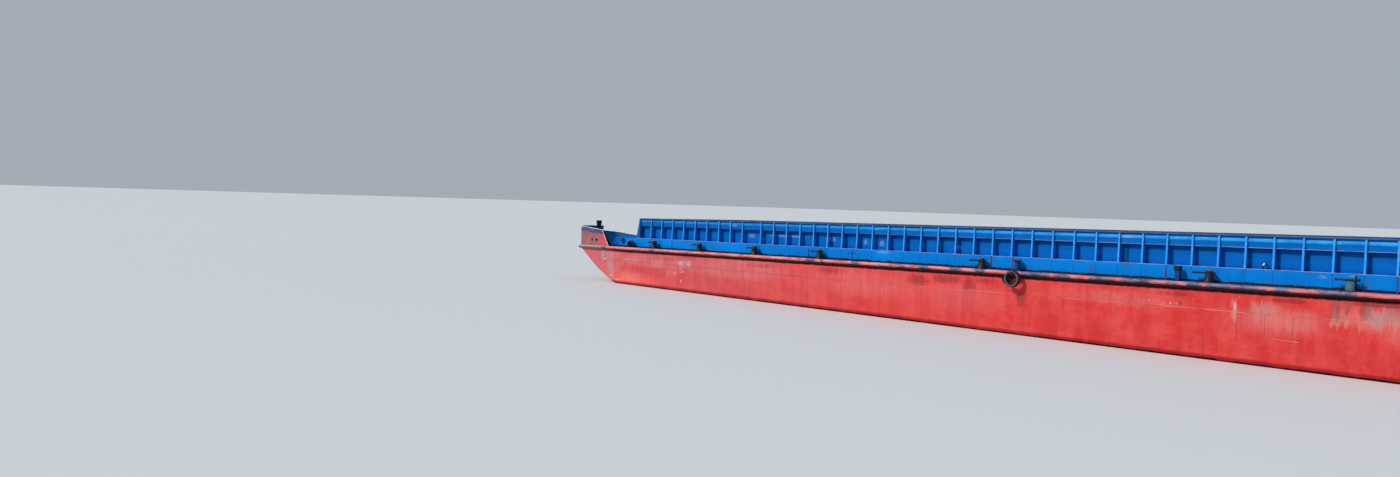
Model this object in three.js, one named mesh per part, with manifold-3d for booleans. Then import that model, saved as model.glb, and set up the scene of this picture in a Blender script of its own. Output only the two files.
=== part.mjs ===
// River barge: an unpowered open-hopper barge at half its real size.
// Millimetres, +X towards the bow, +Y to port, +Z up, Z = 0 on the flat bottom.

import * as THREE from 'three';
import { mergeVertices } from 'three/addons/utils/BufferGeometryUtils.js';
import Module from 'manifold-3d';

const wasm = await Module();
wasm.setup();

// Gap between pieces that touch.
const GAP = 0.3;

// Hull.
const HALF_LENGTH = 18000;
const HALF_BREADTH = 3500;
const DEPTH = 2000;
const BILGE_RADIUS = 150;
const BOTTOM_DEPTH = 300;
const DECK_PLATE = 10;

// Hold, and the coaming around it. Bays are the spaces between the coaming's stays.
const STERN_LENGTH = 3900;
const BAY = 600;
const HOLD_AFT = -HALF_LENGTH + STERN_LENGTH;
const HOLD_LENGTH = 44.5 * BAY;
const HOLD_FORE = HOLD_AFT + HOLD_LENGTH;
const HOLD_HALF = 2940;
const COAMING_PLATE = 10;
const LEDGE_HEIGHT = 360;
const LEDGE_Z = DEPTH + LEDGE_HEIGHT;
const RAIL_TOP_Z = 3118;
const RAIL_THICK = 26;
const RAIL_Z = RAIL_TOP_Z - RAIL_THICK;
const RAIL_LIP = 8;
const PLATE_FACE = HOLD_HALF + COAMING_PLATE;
const STAY_FOOT = 200;
const STAY_HEAD = 160;
const END_STAY_FOOT = 180;
const END_STAY_HEAD = 50;
const STAY_WEB = 10;
const STAY_FLANGE = 44;
const STAY_FLANGE_THICK = 8;
const STIFFENER_Z = 2830;
const STIFFENER_THICK = 12;
const STIFFENER_DEPTH = 124;
// The box girder under the rail: how far it stands off the plating, by depth below its top.
const GIRDER = [[0, 96], [40, 110], [95, 117], [160, 114]];
const GIRDER_TOP = RAIL_Z - 4;
const BASE_FACE = PLATE_FACE + STAY_FOOT;
// The after coaming wall stands back from the hold's bulkhead, on a wider ledge.
const COAMING_AFT = HOLD_AFT - 260;
const AFT_LEDGE = 450;

// Raked ends. Each is plumb over its sheer strake and runs straight down from there. Lower down it
// eases into the flat bottom: ease lists [height, how far short of the straight line].
// run is length for each unit of height.
const LEVELS = [0, 45, BILGE_RADIUS, 400, 600, 800, 1000, 1250];
const STERN_CORNER = 400;
const STERN = {
  sign: -1, strake: 100, run: 1.47, sheer: 0,
  ease: [[0, 1080], [600, 440], [800, 230], [1000, 85], [1250, 0]],
};
const BOW = { sign: 1, strake: 200, run: 1.27, sheer: 450, ease: [[0, 700], [150, 270], [400, 0]] };
const BOW_FULLNESS = 2.7;
const BOW_START = HOLD_FORE + 700;
const SHEER_START = HOLD_FORE + 3000;

// Fender pipe along the deck edge.
const FENDER_RADIUS = 70;
const FENDER_BACK = 30;
const FENDER_Z = DEPTH - FENDER_RADIUS;

// Bulwarks.
const BULWARK_PLATE = 10;
const BULWARK_INSET = 4;
const BULWARK_LOW = 430;
const BULWARK_STERN_TOP = 760;
const BULWARK_BOW_TOP = 560;
const BULWARK_CAP = 22;

// Tyre hung over the side.
const TYRE_RADIUS = 225;
const TYRE_HOLE = 135;
const TYRE_WIDTH = 150;
const TYRE_Z = 1812;
const TYRE_X = HOLD_AFT + 16300;
const TYRE_BACK = HALF_BREADTH + FENDER_BACK + FENDER_RADIUS + 22;
const EYE_Y = 3440;

const PAINT = {
  hull: [0xd4483f, 0.6, 0.1],
  coaming: [0x0667c6, 0.55, 0.1],
  rail: [0x9c9099, 0.5, 0.4],
  fender: [0xcf8a86, 0.6, 0.2],
  deck: [0x5d5250, 0.8, 0.1],
  black: [0x17181b, 0.6, 0.2],
  rubber: [0x1b1b1d, 0.85, 0],
  steel: [0x6a4a3a, 0.7, 0.5],
};

const barge = new THREE.Group();

function material([color, roughness, metalness]) {
  return new THREE.MeshStandardMaterial({ color, roughness, metalness });
}

function add(name, geometry, paint) {
  const mesh = new THREE.Mesh(geometry, material(paint));
  mesh.name = name;
  barge.add(mesh);
  return mesh;
}

// Only positions, to a hundredth of a millimetre, so that faces meant to be in one plane are.
function bare(geometry) {
  const copy = geometry.clone();
  copy.deleteAttribute('normal');
  copy.deleteAttribute('uv');
  const places = copy.attributes.position.array;
  places.forEach((value, i) => {
    places[i] = Math.round(value * 100) / 100;
  });
  return mergeVertices(copy, 0.01);
}

function solid(geometry) {
  const clean = bare(geometry);
  const vertProperties = new Float32Array(clean.attributes.position.array);
  const triVerts = new Uint32Array(clean.index.array);
  return new wasm.Manifold(new wasm.Mesh({ numProp: 3, vertProperties, triVerts }));
}

function shape(manifold) {
  const mesh = manifold.getMesh();
  const geometry = new THREE.BufferGeometry();
  geometry.setAttribute('position', new THREE.BufferAttribute(mesh.vertProperties, 3));
  geometry.setIndex(new THREE.BufferAttribute(mesh.triVerts, 1));
  return geometry;
}

function join(geometries) {
  let whole = solid(geometries[0]);
  for (const geometry of geometries.slice(1)) {
    whole = whole.add(solid(geometry));
  }
  return shape(whole);
}

function cut(geometry, cutters) {
  let whole = solid(geometry);
  for (const cutter of cutters) {
    whole = whole.subtract(solid(cutter));
  }
  return shape(whole);
}

// The same shape on the other side of the centre plane.
function mirrored(geometry) {
  const copy = bare(geometry);
  copy.scale(1, -1, 1);
  const index = copy.index.array;
  for (let i = 0; i < index.length; i += 3) {
    [index[i], index[i + 1]] = [index[i + 1], index[i]];
  }
  return copy;
}

function pair(name, geometry, paint) {
  add(`${name}_port`, geometry, paint);
  add(`${name}_starboard`, mirrored(geometry), paint);
}

function box(x0, x1, y0, y1, z0, z1) {
  const geometry = new THREE.BoxGeometry(x1 - x0, y1 - y0, z1 - z0);
  geometry.translate((x0 + x1) / 2, (y0 + y1) / 2, (z0 + z1) / 2);
  return geometry;
}

function outline(points) {
  return new THREE.Shape(points.map(([x, y]) => new THREE.Vector2(x, y)));
}

// A (y, z) outline carried along X.
function alongX(points, x0, x1) {
  const geometry = new THREE.ExtrudeGeometry(outline(points), { depth: x1 - x0, bevelEnabled: false });
  geometry.rotateX(Math.PI / 2);
  geometry.rotateZ(Math.PI / 2);
  geometry.translate(x0, 0, 0);
  return geometry;
}

// An (x, z) outline carried along Y.
function alongY(points, y0, y1) {
  const geometry = new THREE.ExtrudeGeometry(outline(points), { depth: y1 - y0, bevelEnabled: false });
  geometry.rotateX(Math.PI / 2);
  geometry.translate(0, y1, 0);
  return geometry;
}

function post(x, y, z0, z1, radius, sides = 12) {
  const geometry = new THREE.CylinderGeometry(radius, radius, z1 - z0, sides);
  geometry.rotateX(Math.PI / 2);
  geometry.translate(x, y, (z0 + z1) / 2);
  return geometry;
}

function rod(x, y0, y1, z, radius, sides = 12) {
  const geometry = new THREE.CylinderGeometry(radius, radius, y1 - y0, sides);
  geometry.translate(x, (y0 + y1) / 2, z);
  return geometry;
}

// A round bar or pipe through hand-placed points.
function pipe(points, radius, steps, sides) {
  const path = new THREE.CatmullRomCurve3(points.map((point) => new THREE.Vector3(...point)));
  const section = [];
  for (let i = 0; i < sides; i += 1) {
    const turn = (i / sides) * 2 * Math.PI;
    section.push([radius * Math.cos(turn), radius * Math.sin(turn)]);
  }
  return new THREE.ExtrudeGeometry(outline(section), { extrudePath: path, steps, bevelEnabled: false });
}

// A turned piece about a vertical axis, from (radius, height) points.
function turnedPiece(profile, sides) {
  const geometry = new THREE.LatheGeometry(profile.map(([r, h]) => new THREE.Vector2(r, h)), sides);
  geometry.rotateX(Math.PI / 2);
  return geometry;
}

function meshFrom(positions, triangles) {
  let volume = 0;
  const a = new THREE.Vector3();
  const b = new THREE.Vector3();
  const c = new THREE.Vector3();
  for (const [i, j, k] of triangles) {
    a.fromArray(positions[i]);
    b.fromArray(positions[j]);
    c.fromArray(positions[k]);
    volume += a.dot(b.cross(c));
  }
  const facing = volume < 0 ? triangles.map(([i, j, k]) => [i, k, j]) : triangles;
  const geometry = new THREE.BufferGeometry();
  geometry.setAttribute('position', new THREE.Float32BufferAttribute(positions.flat(), 3));
  geometry.setIndex(facing.flat());
  return geometry;
}

// An (out, up) outline carried along a path of { at: [x, y, z], out: [nx, ny], rise } stations.
// Where a station has a rise, the outline's heights are shares of it.
function carried(path, profile) {
  const positions = [];
  const triangles = [];
  const sides = profile.length;
  for (const { at, out, rise = 1 } of path) {
    for (const [across, up] of profile) {
      positions.push([at[0] + out[0] * across, at[1] + out[1] * across, at[2] + up * rise]);
    }
  }
  for (let s = 0; s < path.length - 1; s += 1) {
    for (let p = 0; p < sides; p += 1) {
      const q = (p + 1) % sides;
      const low = s * sides;
      const high = low + sides;
      triangles.push([low + p, low + q, high + q], [low + p, high + q, high + p]);
    }
  }
  const flat = profile.map(([x, y]) => new THREE.Vector2(x, y));
  const last = (path.length - 1) * sides;
  for (const [i, j, k] of THREE.ShapeUtils.triangulateShape(flat, [])) {
    triangles.push([i, k, j], [last + i, last + j, last + k]);
  }
  return meshFrom(positions, triangles);
}

// Half breadth at a height: full above the turn of the bilge.
function breadthAt(z) {
  const below = Math.max(BILGE_RADIUS - z, 0);
  return HALF_BREADTH - BILGE_RADIUS + Math.sqrt(BILGE_RADIUS ** 2 - below ** 2);
}

function easeAt(table, z) {
  const above = table.findIndex(([height]) => height > z);
  if (above < 0) {
    return 0;
  }
  const [[z0, short0], [z1, short1]] = [table[above - 1], table[above]];
  return short0 + (short1 - short0) * (z - z0) / (z1 - z0);
}

// How far from mid-length an end reaches at a height.
function rakeAt(end, z) {
  const strakeFoot = DEPTH + end.sheer - end.strake;
  const straight = HALF_LENGTH - Math.max(strakeFoot - z, 0) * end.run;
  return end.sign * (straight - easeAt(end.ease, z));
}

// Height that the deck gains towards the stem.
function sheerAt(x) {
  const along = Math.max((x - SHEER_START) / (HALF_LENGTH - SHEER_START), 0);
  return BOW.sheer * along ** 1.6;
}

// Plan of the stern's port half: straight to the round corner, which ends on the flat transom.
function sternPlan(reach, breadth) {
  const points = [];
  const steps = 6;
  for (let i = 0; i <= steps; i += 1) {
    const turn = (i / steps) * Math.PI / 2;
    const x = reach + STERN_CORNER * (1 - Math.sin(turn));
    const y = breadth - STERN_CORNER * (1 - Math.cos(turn));
    points.push({ at: [x, y], out: [-Math.sin(turn), Math.cos(turn)] });
  }
  return points;
}

// Plan of the bow's port half: full shoulders that close in to the stem.
function bowPlan(reach, breadth) {
  const points = [];
  const steps = 12;
  for (let i = 0; i <= steps; i += 1) {
    const turn = (i / steps) * Math.PI / 2;
    const along = Math.sin(turn) ** (2 / BOW_FULLNESS);
    const across = i === steps ? 0 : Math.cos(turn) ** (2 / BOW_FULLNESS);
    const nx = along ** (BOW_FULLNESS - 1) / (reach - BOW_START);
    const ny = across ** (BOW_FULLNESS - 1) / breadth;
    const length = Math.hypot(nx, ny);
    points.push({
      at: [BOW_START + (reach - BOW_START) * along, breadth * across],
      out: [nx / length, ny / length],
    });
  }
  return points;
}

// A closed solid through stacked rings. A ring lists the port points [x, y, z] of a level from the
// bulkhead to the tip; the starboard points are their mirror.
function stacked(portRings) {
  const rings = portRings.map((port) => {
    const starboard = port.filter(([, y]) => y > 0).reverse().map(([x, y, z]) => [x, -y, z]);
    return [...port, ...starboard];
  });
  const count = rings[0].length;
  const triangles = [];
  for (let level = 0; level < rings.length - 1; level += 1) {
    for (let i = 0; i < count; i += 1) {
      const j = (i + 1) % count;
      const low = level * count;
      const high = low + count;
      triangles.push([low + i, low + j, high + j], [low + i, high + j, high + i]);
    }
  }
  const top = (rings.length - 1) * count;
  for (let i = 0; i + 1 < count - 1 - i; i += 1) {
    const far = count - 1 - i;
    triangles.push([far, i + 1, i], [top + i, top + i + 1, top + far]);
    if (i + 1 < far - 1) {
      triangles.push([far, far - 1, i + 1], [top + i + 1, top + far - 1, top + far]);
    }
  }
  return meshFrom(rings.flat(), triangles);
}

// A ring that rides up with the sheer, at a height below the deck's top.
function deckRing(end, plan, bulkhead, below) {
  const side = [[bulkhead, HALF_BREADTH], ...plan(end.sign * HALF_LENGTH, HALF_BREADTH).map(({ at }) => at)];
  return side.map(([x, y]) => [x, y, DEPTH - below + (end.sheer > 0 ? sheerAt(x) : 0)]);
}

function hullEnd(end, plan, bulkhead) {
  const level = (z) => {
    const breadth = breadthAt(z);
    return [[bulkhead, breadth], ...plan(rakeAt(end, z), breadth).map(({ at }) => at)].map(([x, y]) => [x, y, z]);
  };
  return stacked([
    ...LEVELS.map(level),
    deckRing(end, plan, bulkhead, end.strake),
    deckRing(end, plan, bulkhead, DECK_PLATE + GAP),
  ]);
}

function deckPlate(end, plan, bulkhead) {
  return stacked([deckRing(end, plan, bulkhead, DECK_PLATE), deckRing(end, plan, bulkhead, 0)]);
}

// A ring standing upright on the aft deck for the side lines, one at each edge.
const TOWING_EYE = { x: HOLD_AFT - 560, y: 3320, up: 140, radius: 112, bar: 34 };

function towingEye(side) {
  const { x, y, up, radius, bar } = TOWING_EYE;
  const ring = new THREE.TorusGeometry(radius, bar, 8, 16);
  ring.rotateX(Math.PI / 2);
  ring.translate(x, side * y, DEPTH + up);
  return [ring, box(x - 70, x + 70, side * y - 36, side * y + 36, DEPTH - 1, DEPTH + 40)];
}

function wingTank() {
  const turns = LEVELS.filter((z) => z <= BILGE_RADIUS).map((z) => [breadthAt(z), z]);
  const top = DEPTH - DECK_PLATE - GAP;
  const section = [[HOLD_HALF + GAP, 0], ...turns, [HALF_BREADTH, top], [HOLD_HALF + GAP, top]];
  return alongX(section, HOLD_AFT + GAP, HOLD_FORE - GAP);
}

function buildHull() {
  add('double_bottom', box(HOLD_AFT + GAP, HOLD_FORE - GAP, -HOLD_HALF, HOLD_HALF, 0, BOTTOM_DEPTH), PAINT.hull);
  pair('wing_tank', wingTank(), PAINT.hull);
  const well = (place) => [hatchHole(place, HATCH_WELL)];
  add('stern_rake', cut(hullEnd(STERN, sternPlan, HOLD_AFT), well(HATCHES.aft)), PAINT.hull);
  add('bow_rake', cut(hullEnd(BOW, bowPlan, HOLD_FORE), well(HATCHES.fore)), PAINT.hull);
  const aft = join([deckPlate(STERN, sternPlan, HOLD_AFT), ...towingEye(-1), ...towingEye(1)]);
  add('deck_aft', cut(aft, well(HATCHES.aft)), PAINT.deck);
  add('deck_fore', cut(deckPlate(BOW, bowPlan, HOLD_FORE), well(HATCHES.fore)), PAINT.deck);
}

const SKEG_Y = 1900;
const SKEG_THICK = 40;
const SKEG_TOP = 1100;

function skeg() {
  const clear = 2 * GAP;
  const heights = [...LEVELS.filter((z) => z > 0 && z < SKEG_TOP), SKEG_TOP];
  const edge = heights.map((z) => [rakeAt(STERN, z) - clear, z]);
  const [foot, aft] = [edge[0][0], edge[edge.length - 1][0]];
  return alongY([[foot, 0], ...edge, [aft, 0]], SKEG_Y - SKEG_THICK / 2, SKEG_Y + SKEG_THICK / 2);
}

// Side deck fittings. at is the distance forward of the hold's after corner.
const SIDE_DECK_Y = 3320;
const FITTINGS = [
  { kind: 'horn', at: 880 },
  { kind: 'horn', at: 3420 },
  { kind: 'horn', at: 6220 },
  { kind: 'horn', at: 9160 },
  { kind: 'horn', at: 15100 },
  { kind: 'round', at: 16210 },
  { kind: 'square', at: 20470 },
  { kind: 'horn', at: 21190 },
  { kind: 'cross', at: 24090 },
];
const HORN_HEIGHT = 250;

function fitting(kind, x) {
  const z = DEPTH - 1;
  const horn = (aft, fore, height) => {
    const arm = new THREE.CylinderGeometry(22, 22, aft + fore, 8);
    arm.rotateZ(Math.PI / 2);
    arm.translate(x + (fore - aft) / 2, SIDE_DECK_Y, DEPTH + height);
    return arm;
  };
  if (kind === 'horn') {
    return [post(x, SIDE_DECK_Y, z, DEPTH + HORN_HEIGHT + 30, 80), horn(340, 95, HORN_HEIGHT - 25)];
  }
  if (kind === 'round') {
    const head = post(x, SIDE_DECK_Y, DEPTH + HORN_HEIGHT, DEPTH + HORN_HEIGHT + 45, 100);
    return [post(x, SIDE_DECK_Y, z, DEPTH + HORN_HEIGHT + 5, 72), head];
  }
  if (kind === 'square') {
    const shaft = box(x - 50, x + 50, SIDE_DECK_Y - 50, SIDE_DECK_Y + 50, z, DEPTH + 340);
    const head = box(x - 70, x + 70, SIDE_DECK_Y - 70, SIDE_DECK_Y + 70, DEPTH + 250, DEPTH + 350);
    return [shaft, head];
  }
  const stub = post(x + 110, SIDE_DECK_Y, DEPTH + 200, DEPTH + 330, 22);
  return [post(x + 15, SIDE_DECK_Y, z, DEPTH + HORN_HEIGHT - 20, 108), horn(250, 150, HORN_HEIGHT - 10), stub];
}

function sideDeck() {
  const plate = box(HOLD_AFT + GAP, HOLD_FORE - GAP, HOLD_HALF, HALF_BREADTH, DEPTH - DECK_PLATE, DEPTH);
  const fittings = FITTINGS.flatMap(({ kind, at }) => fitting(kind, HOLD_AFT + at));
  const eye = box(TYRE_X - 30, TYRE_X + 30, EYE_Y - 35, EYE_Y, DEPTH - 1, DEPTH + 28);
  return join([plate, eye, ...fittings]);
}

// Used lorry tyre, hung flat against the fender by a rope through its hole.
function tyre() {
  const half = TYRE_WIDTH / 2;
  const shoulder = half - 18;
  const profile = [
    [TYRE_HOLE, -half + 22], [TYRE_HOLE + 15, -half + 5], [TYRE_RADIUS - 28, -half], [TYRE_RADIUS, -shoulder],
    [TYRE_RADIUS, shoulder], [TYRE_RADIUS - 28, half], [TYRE_HOLE + 15, half - 5], [TYRE_HOLE, half - 22],
    [TYRE_HOLE, -half + 22],
  ];
  const geometry = turnedPiece(profile, 20);
  geometry.rotateX(Math.PI / 2);
  geometry.translate(TYRE_X, TYRE_BACK + half, TYRE_Z);
  return geometry;
}

const ROPE_RADIUS = 9;

// The rope's loop, as (x, y, z) from the tyre's station: off the eye, over the top of the tyre,
// down its face, back through the hole, up behind it and home over the fender.
function tyreRope() {
  const face = TYRE_BACK + TYRE_WIDTH + 12;
  const under = TYRE_Z + TYRE_HOLE - ROPE_RADIUS;
  const over = TYRE_Z + TYRE_RADIUS + 14;
  const behind = TYRE_BACK - 11;
  const deck = DEPTH + ROPE_RADIUS + 3;
  const loop = [
    [-14, EYE_Y + 0.5, deck], [-14, 3480, deck], [-14, 3540, deck + 4], [-13, 3592, over - 10],
    [-12, TYRE_BACK + 10, over], [-11, TYRE_BACK + 60, over + 1], [-10, face - 12, over],
    [-8, face, over - 18], [-6, face, over - 60], [-4, face, under + 14], [-2, face - 14, under],
    [0, TYRE_BACK + 60, under], [3, TYRE_BACK + 4, under + 1], [6, behind, under + 12],
    [9, behind, under + 40], [12, 3594, deck - 6], [13, 3545, deck + 3], [14, 3490, deck],
    [14, EYE_Y + 0.5, deck],
  ];
  return pipe(loop.map(([x, y, z]) => [TYRE_X + x, y, z]), ROPE_RADIUS, 30, 5);
}

// Tall bollard with a flared head, at each stern quarter.
const STERN_BOLLARD = { x: HOLD_AFT - 3430, y: 2760, height: 985 };

function sternBollard() {
  const { x, y, height } = STERN_BOLLARD;
  const profile = [
    [0, 0], [160, 0], [160, 22], [95, 34], [84, 120], [84, height - 260], [92, height - 210],
    [118, height], [0, height],
  ];
  const geometry = turnedPiece(profile, 16);
  geometry.translate(x, y, DEPTH + GAP);
  return geometry;
}

const BOW_BITTS = { x: HOLD_FORE + 2450, y: 2250, apart: 420, height: 360 };

function bowBitts() {
  const { x, y, apart, height } = BOW_BITTS;
  const z = DEPTH + GAP;
  const plate = box(x - 380, x + 380, y - 130, y + 130, z, z + 18);
  const posts = [-1, 1].flatMap((side) => {
    const at = x + side * apart / 2;
    return [post(at, y, z + 2, z + height, 68), post(at, y, z + height - 28, z + height + 6, 86)];
  });
  const bar = box(x - apart / 2 - 150, x + apart / 2 + 150, y - 18, y + 18, z + 190, z + 226);
  return join([plate, ...posts, bar]);
}

// Hatches into the end compartments.
const HATCHES = { aft: [HOLD_AFT - 1250, 1300], fore: [HOLD_FORE + 950, -1500] };
const HATCH_HALF = 250;
const HATCH_WALL = 12;
const HATCH_HEIGHT = 160;
const HATCH_WELL = 600;
const LID_THICK = 14;
const LID_LIP = 12;
const LID_HINGE = { back: HATCH_HALF + 32, up: HATCH_HEIGHT + 14, radius: 10 };
const LID_EAR_Y = 176;

function hatchHole([x, y], depth) {
  const half = HATCH_HALF - HATCH_WALL;
  return box(x - half, x + half, y - half, y + half, DEPTH - depth, DEPTH + 50);
}

function hatchCoaming([x, y]) {
  const base = DEPTH + GAP;
  const frame = box(x - HATCH_HALF, x + HATCH_HALF, y - HATCH_HALF, y + HATCH_HALF, base, DEPTH + HATCH_HEIGHT);
  const inner = HATCH_HALF - HATCH_WALL;
  const hole = box(x - inner, x + inner, y - inner, y + inner, base - 10, DEPTH + HATCH_HEIGHT + 10);
  const { back, up, radius } = LID_HINGE;
  const [outer, root, tip] = [x - back - 22, x - HATCH_HALF + 4, x - HATCH_HALF - 8];
  const ear = [
    [outer, 60], [root, 60], [root, HATCH_HEIGHT - 10], [tip, HATCH_HEIGHT - 4], [tip, up + 20], [outer, up + 20],
  ].map(([along, height]) => [along, DEPTH + height]);
  const ears = [-1, 1].map((side) => alongY(ear, y + side * LID_EAR_Y - 7, y + side * LID_EAR_Y + 7));
  const bore = rod(x - back, y - LID_EAR_Y - 30, y + LID_EAR_Y + 30, DEPTH + up, radius + 2);
  return cut(join([cut(frame, [hole]), ...ears]), [bore]);
}

function hatchLid([x, y]) {
  const { back, up, radius } = LID_HINGE;
  const under = DEPTH + HATCH_HEIGHT + GAP;
  const reach = HATCH_HALF + LID_LIP;
  const plate = box(x - HATCH_HALF, x + reach, y - reach, y + reach, under, under + LID_THICK);
  const pin = rod(x - back, y - LID_EAR_Y - 16, y + LID_EAR_Y + 16, DEPTH + up, radius);
  const arms = [-1, 1].map((side) => {
    const middle = y + side * (LID_EAR_Y - 30);
    return box(x - back - 14, x - 120, middle - 9, middle + 9, under + 2, under + LID_THICK + 12);
  });
  const grip = [
    box(x + 90, x + 104, y - 60, y - 46, under + 10, under + 52),
    box(x + 90, x + 104, y + 46, y + 60, under + 10, under + 52),
    box(x + 91, x + 103, y - 59, y + 59, under + 40, under + 51),
  ];
  return join([plate, pin, ...arms, ...grip]);
}

// Hand winch on the foredeck: cheeks on a bed, and a drum on a shaft across the ship.
const WINCH = { x: HOLD_FORE + 1750, shaftUp: 290, cheekY: 300, shaftRadius: 24, drumHalf: 250 };
const SHAFT_SIDES = 20;
const SHAFT_PLAY = 0.6;

function winchFrame() {
  const { x, shaftUp, cheekY, shaftRadius } = WINCH;
  const z = DEPTH + GAP;
  const bed = box(x - 220, x + 220, -cheekY - 40, cheekY + 40, z, z + 16);
  const side = [[x - 190, z + 4], [x + 190, z + 4], [x + 70, z + shaftUp + 90], [x - 70, z + shaftUp + 90]];
  const cheeks = [-1, 1].map((hand) => alongY(side, hand * cheekY - 10, hand * cheekY + 10));
  const bore = rod(x, -cheekY - 40, cheekY + 40, z + shaftUp, shaftRadius + SHAFT_PLAY, SHAFT_SIDES);
  return cut(join([bed, ...cheeks]), [bore]);
}

function winchDrum() {
  const { x, shaftUp, cheekY, shaftRadius, drumHalf } = WINCH;
  const z = DEPTH + GAP + shaftUp;
  const shaft = rod(x, -cheekY - 85, cheekY + 95, z, shaftRadius, SHAFT_SIDES);
  const barrel = rod(x, -drumHalf + 5, drumHalf - 5, z, 85);
  const flanges = [-1, 1].map((hand) => {
    const edge = hand * drumHalf;
    return rod(x, Math.min(edge, edge - hand * 16), Math.max(edge, edge - hand * 16), z, 165, 16);
  });
  const wheel = rod(x, -cheekY - 80, -cheekY - 50, z, 200, 18);
  const crank = [
    box(x - 20, x + 20, cheekY + 70, cheekY + 88, z - 210, z + 30),
    rod(x, cheekY + 75, cheekY + 210, z - 190, 14, 8),
  ];
  return join([shaft, barrel, ...flanges, wheel, ...crank]);
}

// Air pipes bent over at the top, one at each corner of the hold.
const VENTS = { aft: [HOLD_AFT - 560, 2600], fore: [HOLD_FORE + 560, 2600] };

function vent([x, y]) {
  const bend = [];
  const radius = 60;
  for (let i = 0; i <= 4; i += 1) {
    const turn = Math.PI * (1 - i / 4);
    bend.push([x, y + radius + radius * Math.cos(turn), DEPTH + 330 + radius * Math.sin(turn)]);
  }
  const neck = [[x, y, DEPTH + 2], [x, y, DEPTH + 150], [x, y, DEPTH + 290]];
  const spout = [[x, y + 2 * radius, DEPTH + 280]];
  return join([pipe([...neck, ...bend, ...spout], 34, 11, 8), post(x, y, DEPTH + GAP, DEPTH + 14, 62, 8)]);
}

// Ladder down an end of the hold, standing off the plating.
const LADDER = { width: 200, bar: 12, depth: 34, stand: 90, rung: 150, y: 1500 };

function ladder(face, sign, high) {
  const { width, bar, depth, stand, rung, y } = LADDER;
  const low = BOTTOM_DEPTH + 20;
  const across = (x0, x1, y0, y1, z0, z1) => {
    const [near, far] = [face + sign * x0, face + sign * x1];
    return box(Math.min(near, far), Math.max(near, far), y0, y1, z0, z1);
  };
  const pieces = [y - width / 2, y + width / 2].flatMap((middle) => {
    const brackets = [low + 300, (low + high) / 2, high - 120].map((z) => {
      return across(GAP, stand + 4, middle - bar / 2 + 2, middle + bar / 2 - 2, z, z + 30);
    });
    return [across(stand, stand + depth, middle - bar / 2, middle + bar / 2, low, high), ...brackets];
  });
  for (let z = low + 120; z < high - 40; z += rung) {
    pieces.push(across(stand + 10, stand + 24, y - width / 2, y + width / 2, z, z + 14));
  }
  return join(pieces);
}

function buildFittings() {
  pair('tyre', tyre(), PAINT.rubber);
  pair('tyre_rope', tyreRope(), PAINT.rail);
  pair('bollard_stern', sternBollard(), PAINT.black);
  pair('bitts_bow', bowBitts(), PAINT.black);
  add('winch_frame', winchFrame(), PAINT.steel);
  add('winch_drum', winchDrum(), PAINT.steel);
  for (const [end, place] of Object.entries(HATCHES)) {
    add(`hatch_coaming_${end}`, hatchCoaming(place), PAINT.coaming);
    add(`hatch_lid_${end}`, hatchLid(place), PAINT.coaming);
    pair(`vent_${end}`, vent(VENTS[end]), PAINT.steel);
  }
  add('ladder_aft', ladder(HOLD_AFT, 1, LEDGE_Z - 20), PAINT.steel);
  add('ladder_fore', ladder(HOLD_FORE, -1, RAIL_Z - 60), PAINT.steel);
}

// Stays along a side, between the corner posts. Six bays at the after end are a little longer than
// the rest, and there is one bay and a half after the ninth stay.
const AFT_BAY = 632;
const AFT_BAYS = 6;
const STAY_PLACES = [];
for (let place = 7 * BAY - AFT_BAYS * AFT_BAY; place < 7 * BAY; place += AFT_BAY) {
  STAY_PLACES.push(place);
}
for (let place = 7 * BAY; place < HOLD_LENGTH; place += place === 9 * BAY ? 1.5 * BAY : BAY) {
  STAY_PLACES.push(place);
}
const END_STAY_PLACES = [-2930, -2400, -1800, -1200, -600, 0, 600, 1200, 1800, 2400, 2930];

// A stay: a tapered web off the coaming plate, with a flange down its outer edge. Welded pieces
// stop a millimetre or two short of each other's edges, so that no two faces lie in one plane.
function stay(x, footDepth, headDepth) {
  const foot = LEDGE_Z + GAP;
  const head = RAIL_Z - GAP;
  const lap = STAY_FLANGE_THICK / 2;
  const outerFoot = PLATE_FACE + footDepth - 1;
  const outerHead = PLATE_FACE + headDepth;
  const flangeFoot = outerFoot - STAY_FLANGE_THICK;
  const flangeHead = outerHead - STAY_FLANGE_THICK;
  const inner = PLATE_FACE - lap;
  const [low, high] = [foot + 1, head - 1];
  const web = [[inner, low + 1], [flangeFoot + lap, low + 1], [flangeHead + lap, high - 1], [inner, high - 1]];
  const flange = [[flangeFoot, low], [outerFoot, low], [outerHead, high], [flangeHead, high]];
  return [
    alongX(web, x - STAY_WEB / 2, x + STAY_WEB / 2),
    alongX(flange, x - STAY_FLANGE / 2, x + STAY_FLANGE / 2),
  ];
}

// The corner post between two walls, as deep as each wall's stays. x is the side wall's end, and
// way is 1 where the post lies forward of it, -1 where it lies aft.
function cornerPost(x, way) {
  const lap = 10;
  const slice = (along, off, z) => {
    const [near, far] = [x - way * lap, x + way * (COAMING_PLATE + along - 2)];
    const [inner, outer] = [PLATE_FACE + GAP, PLATE_FACE + off];
    return [[near, inner, z], [near, outer, z], [far, outer, z], [far, inner, z]];
  };
  const points = [
    ...slice(END_STAY_FOOT, STAY_FOOT - 1, LEDGE_Z + GAP + 1), ...slice(END_STAY_HEAD, STAY_HEAD, RAIL_Z - GAP - 1),
  ];
  const triangles = [[0, 1, 2], [0, 2, 3], [4, 6, 5], [4, 7, 6]];
  for (let i = 0; i < 4; i += 1) {
    const j = (i + 1) % 4;
    triangles.push([i, i + 4, j + 4], [i, j + 4, j]);
  }
  return meshFrom(points, triangles);
}

function coamingPlate(from, to) {
  return box(from, to, HOLD_HALF, PLATE_FACE, LEDGE_Z + GAP, RAIL_Z - GAP);
}

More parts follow.
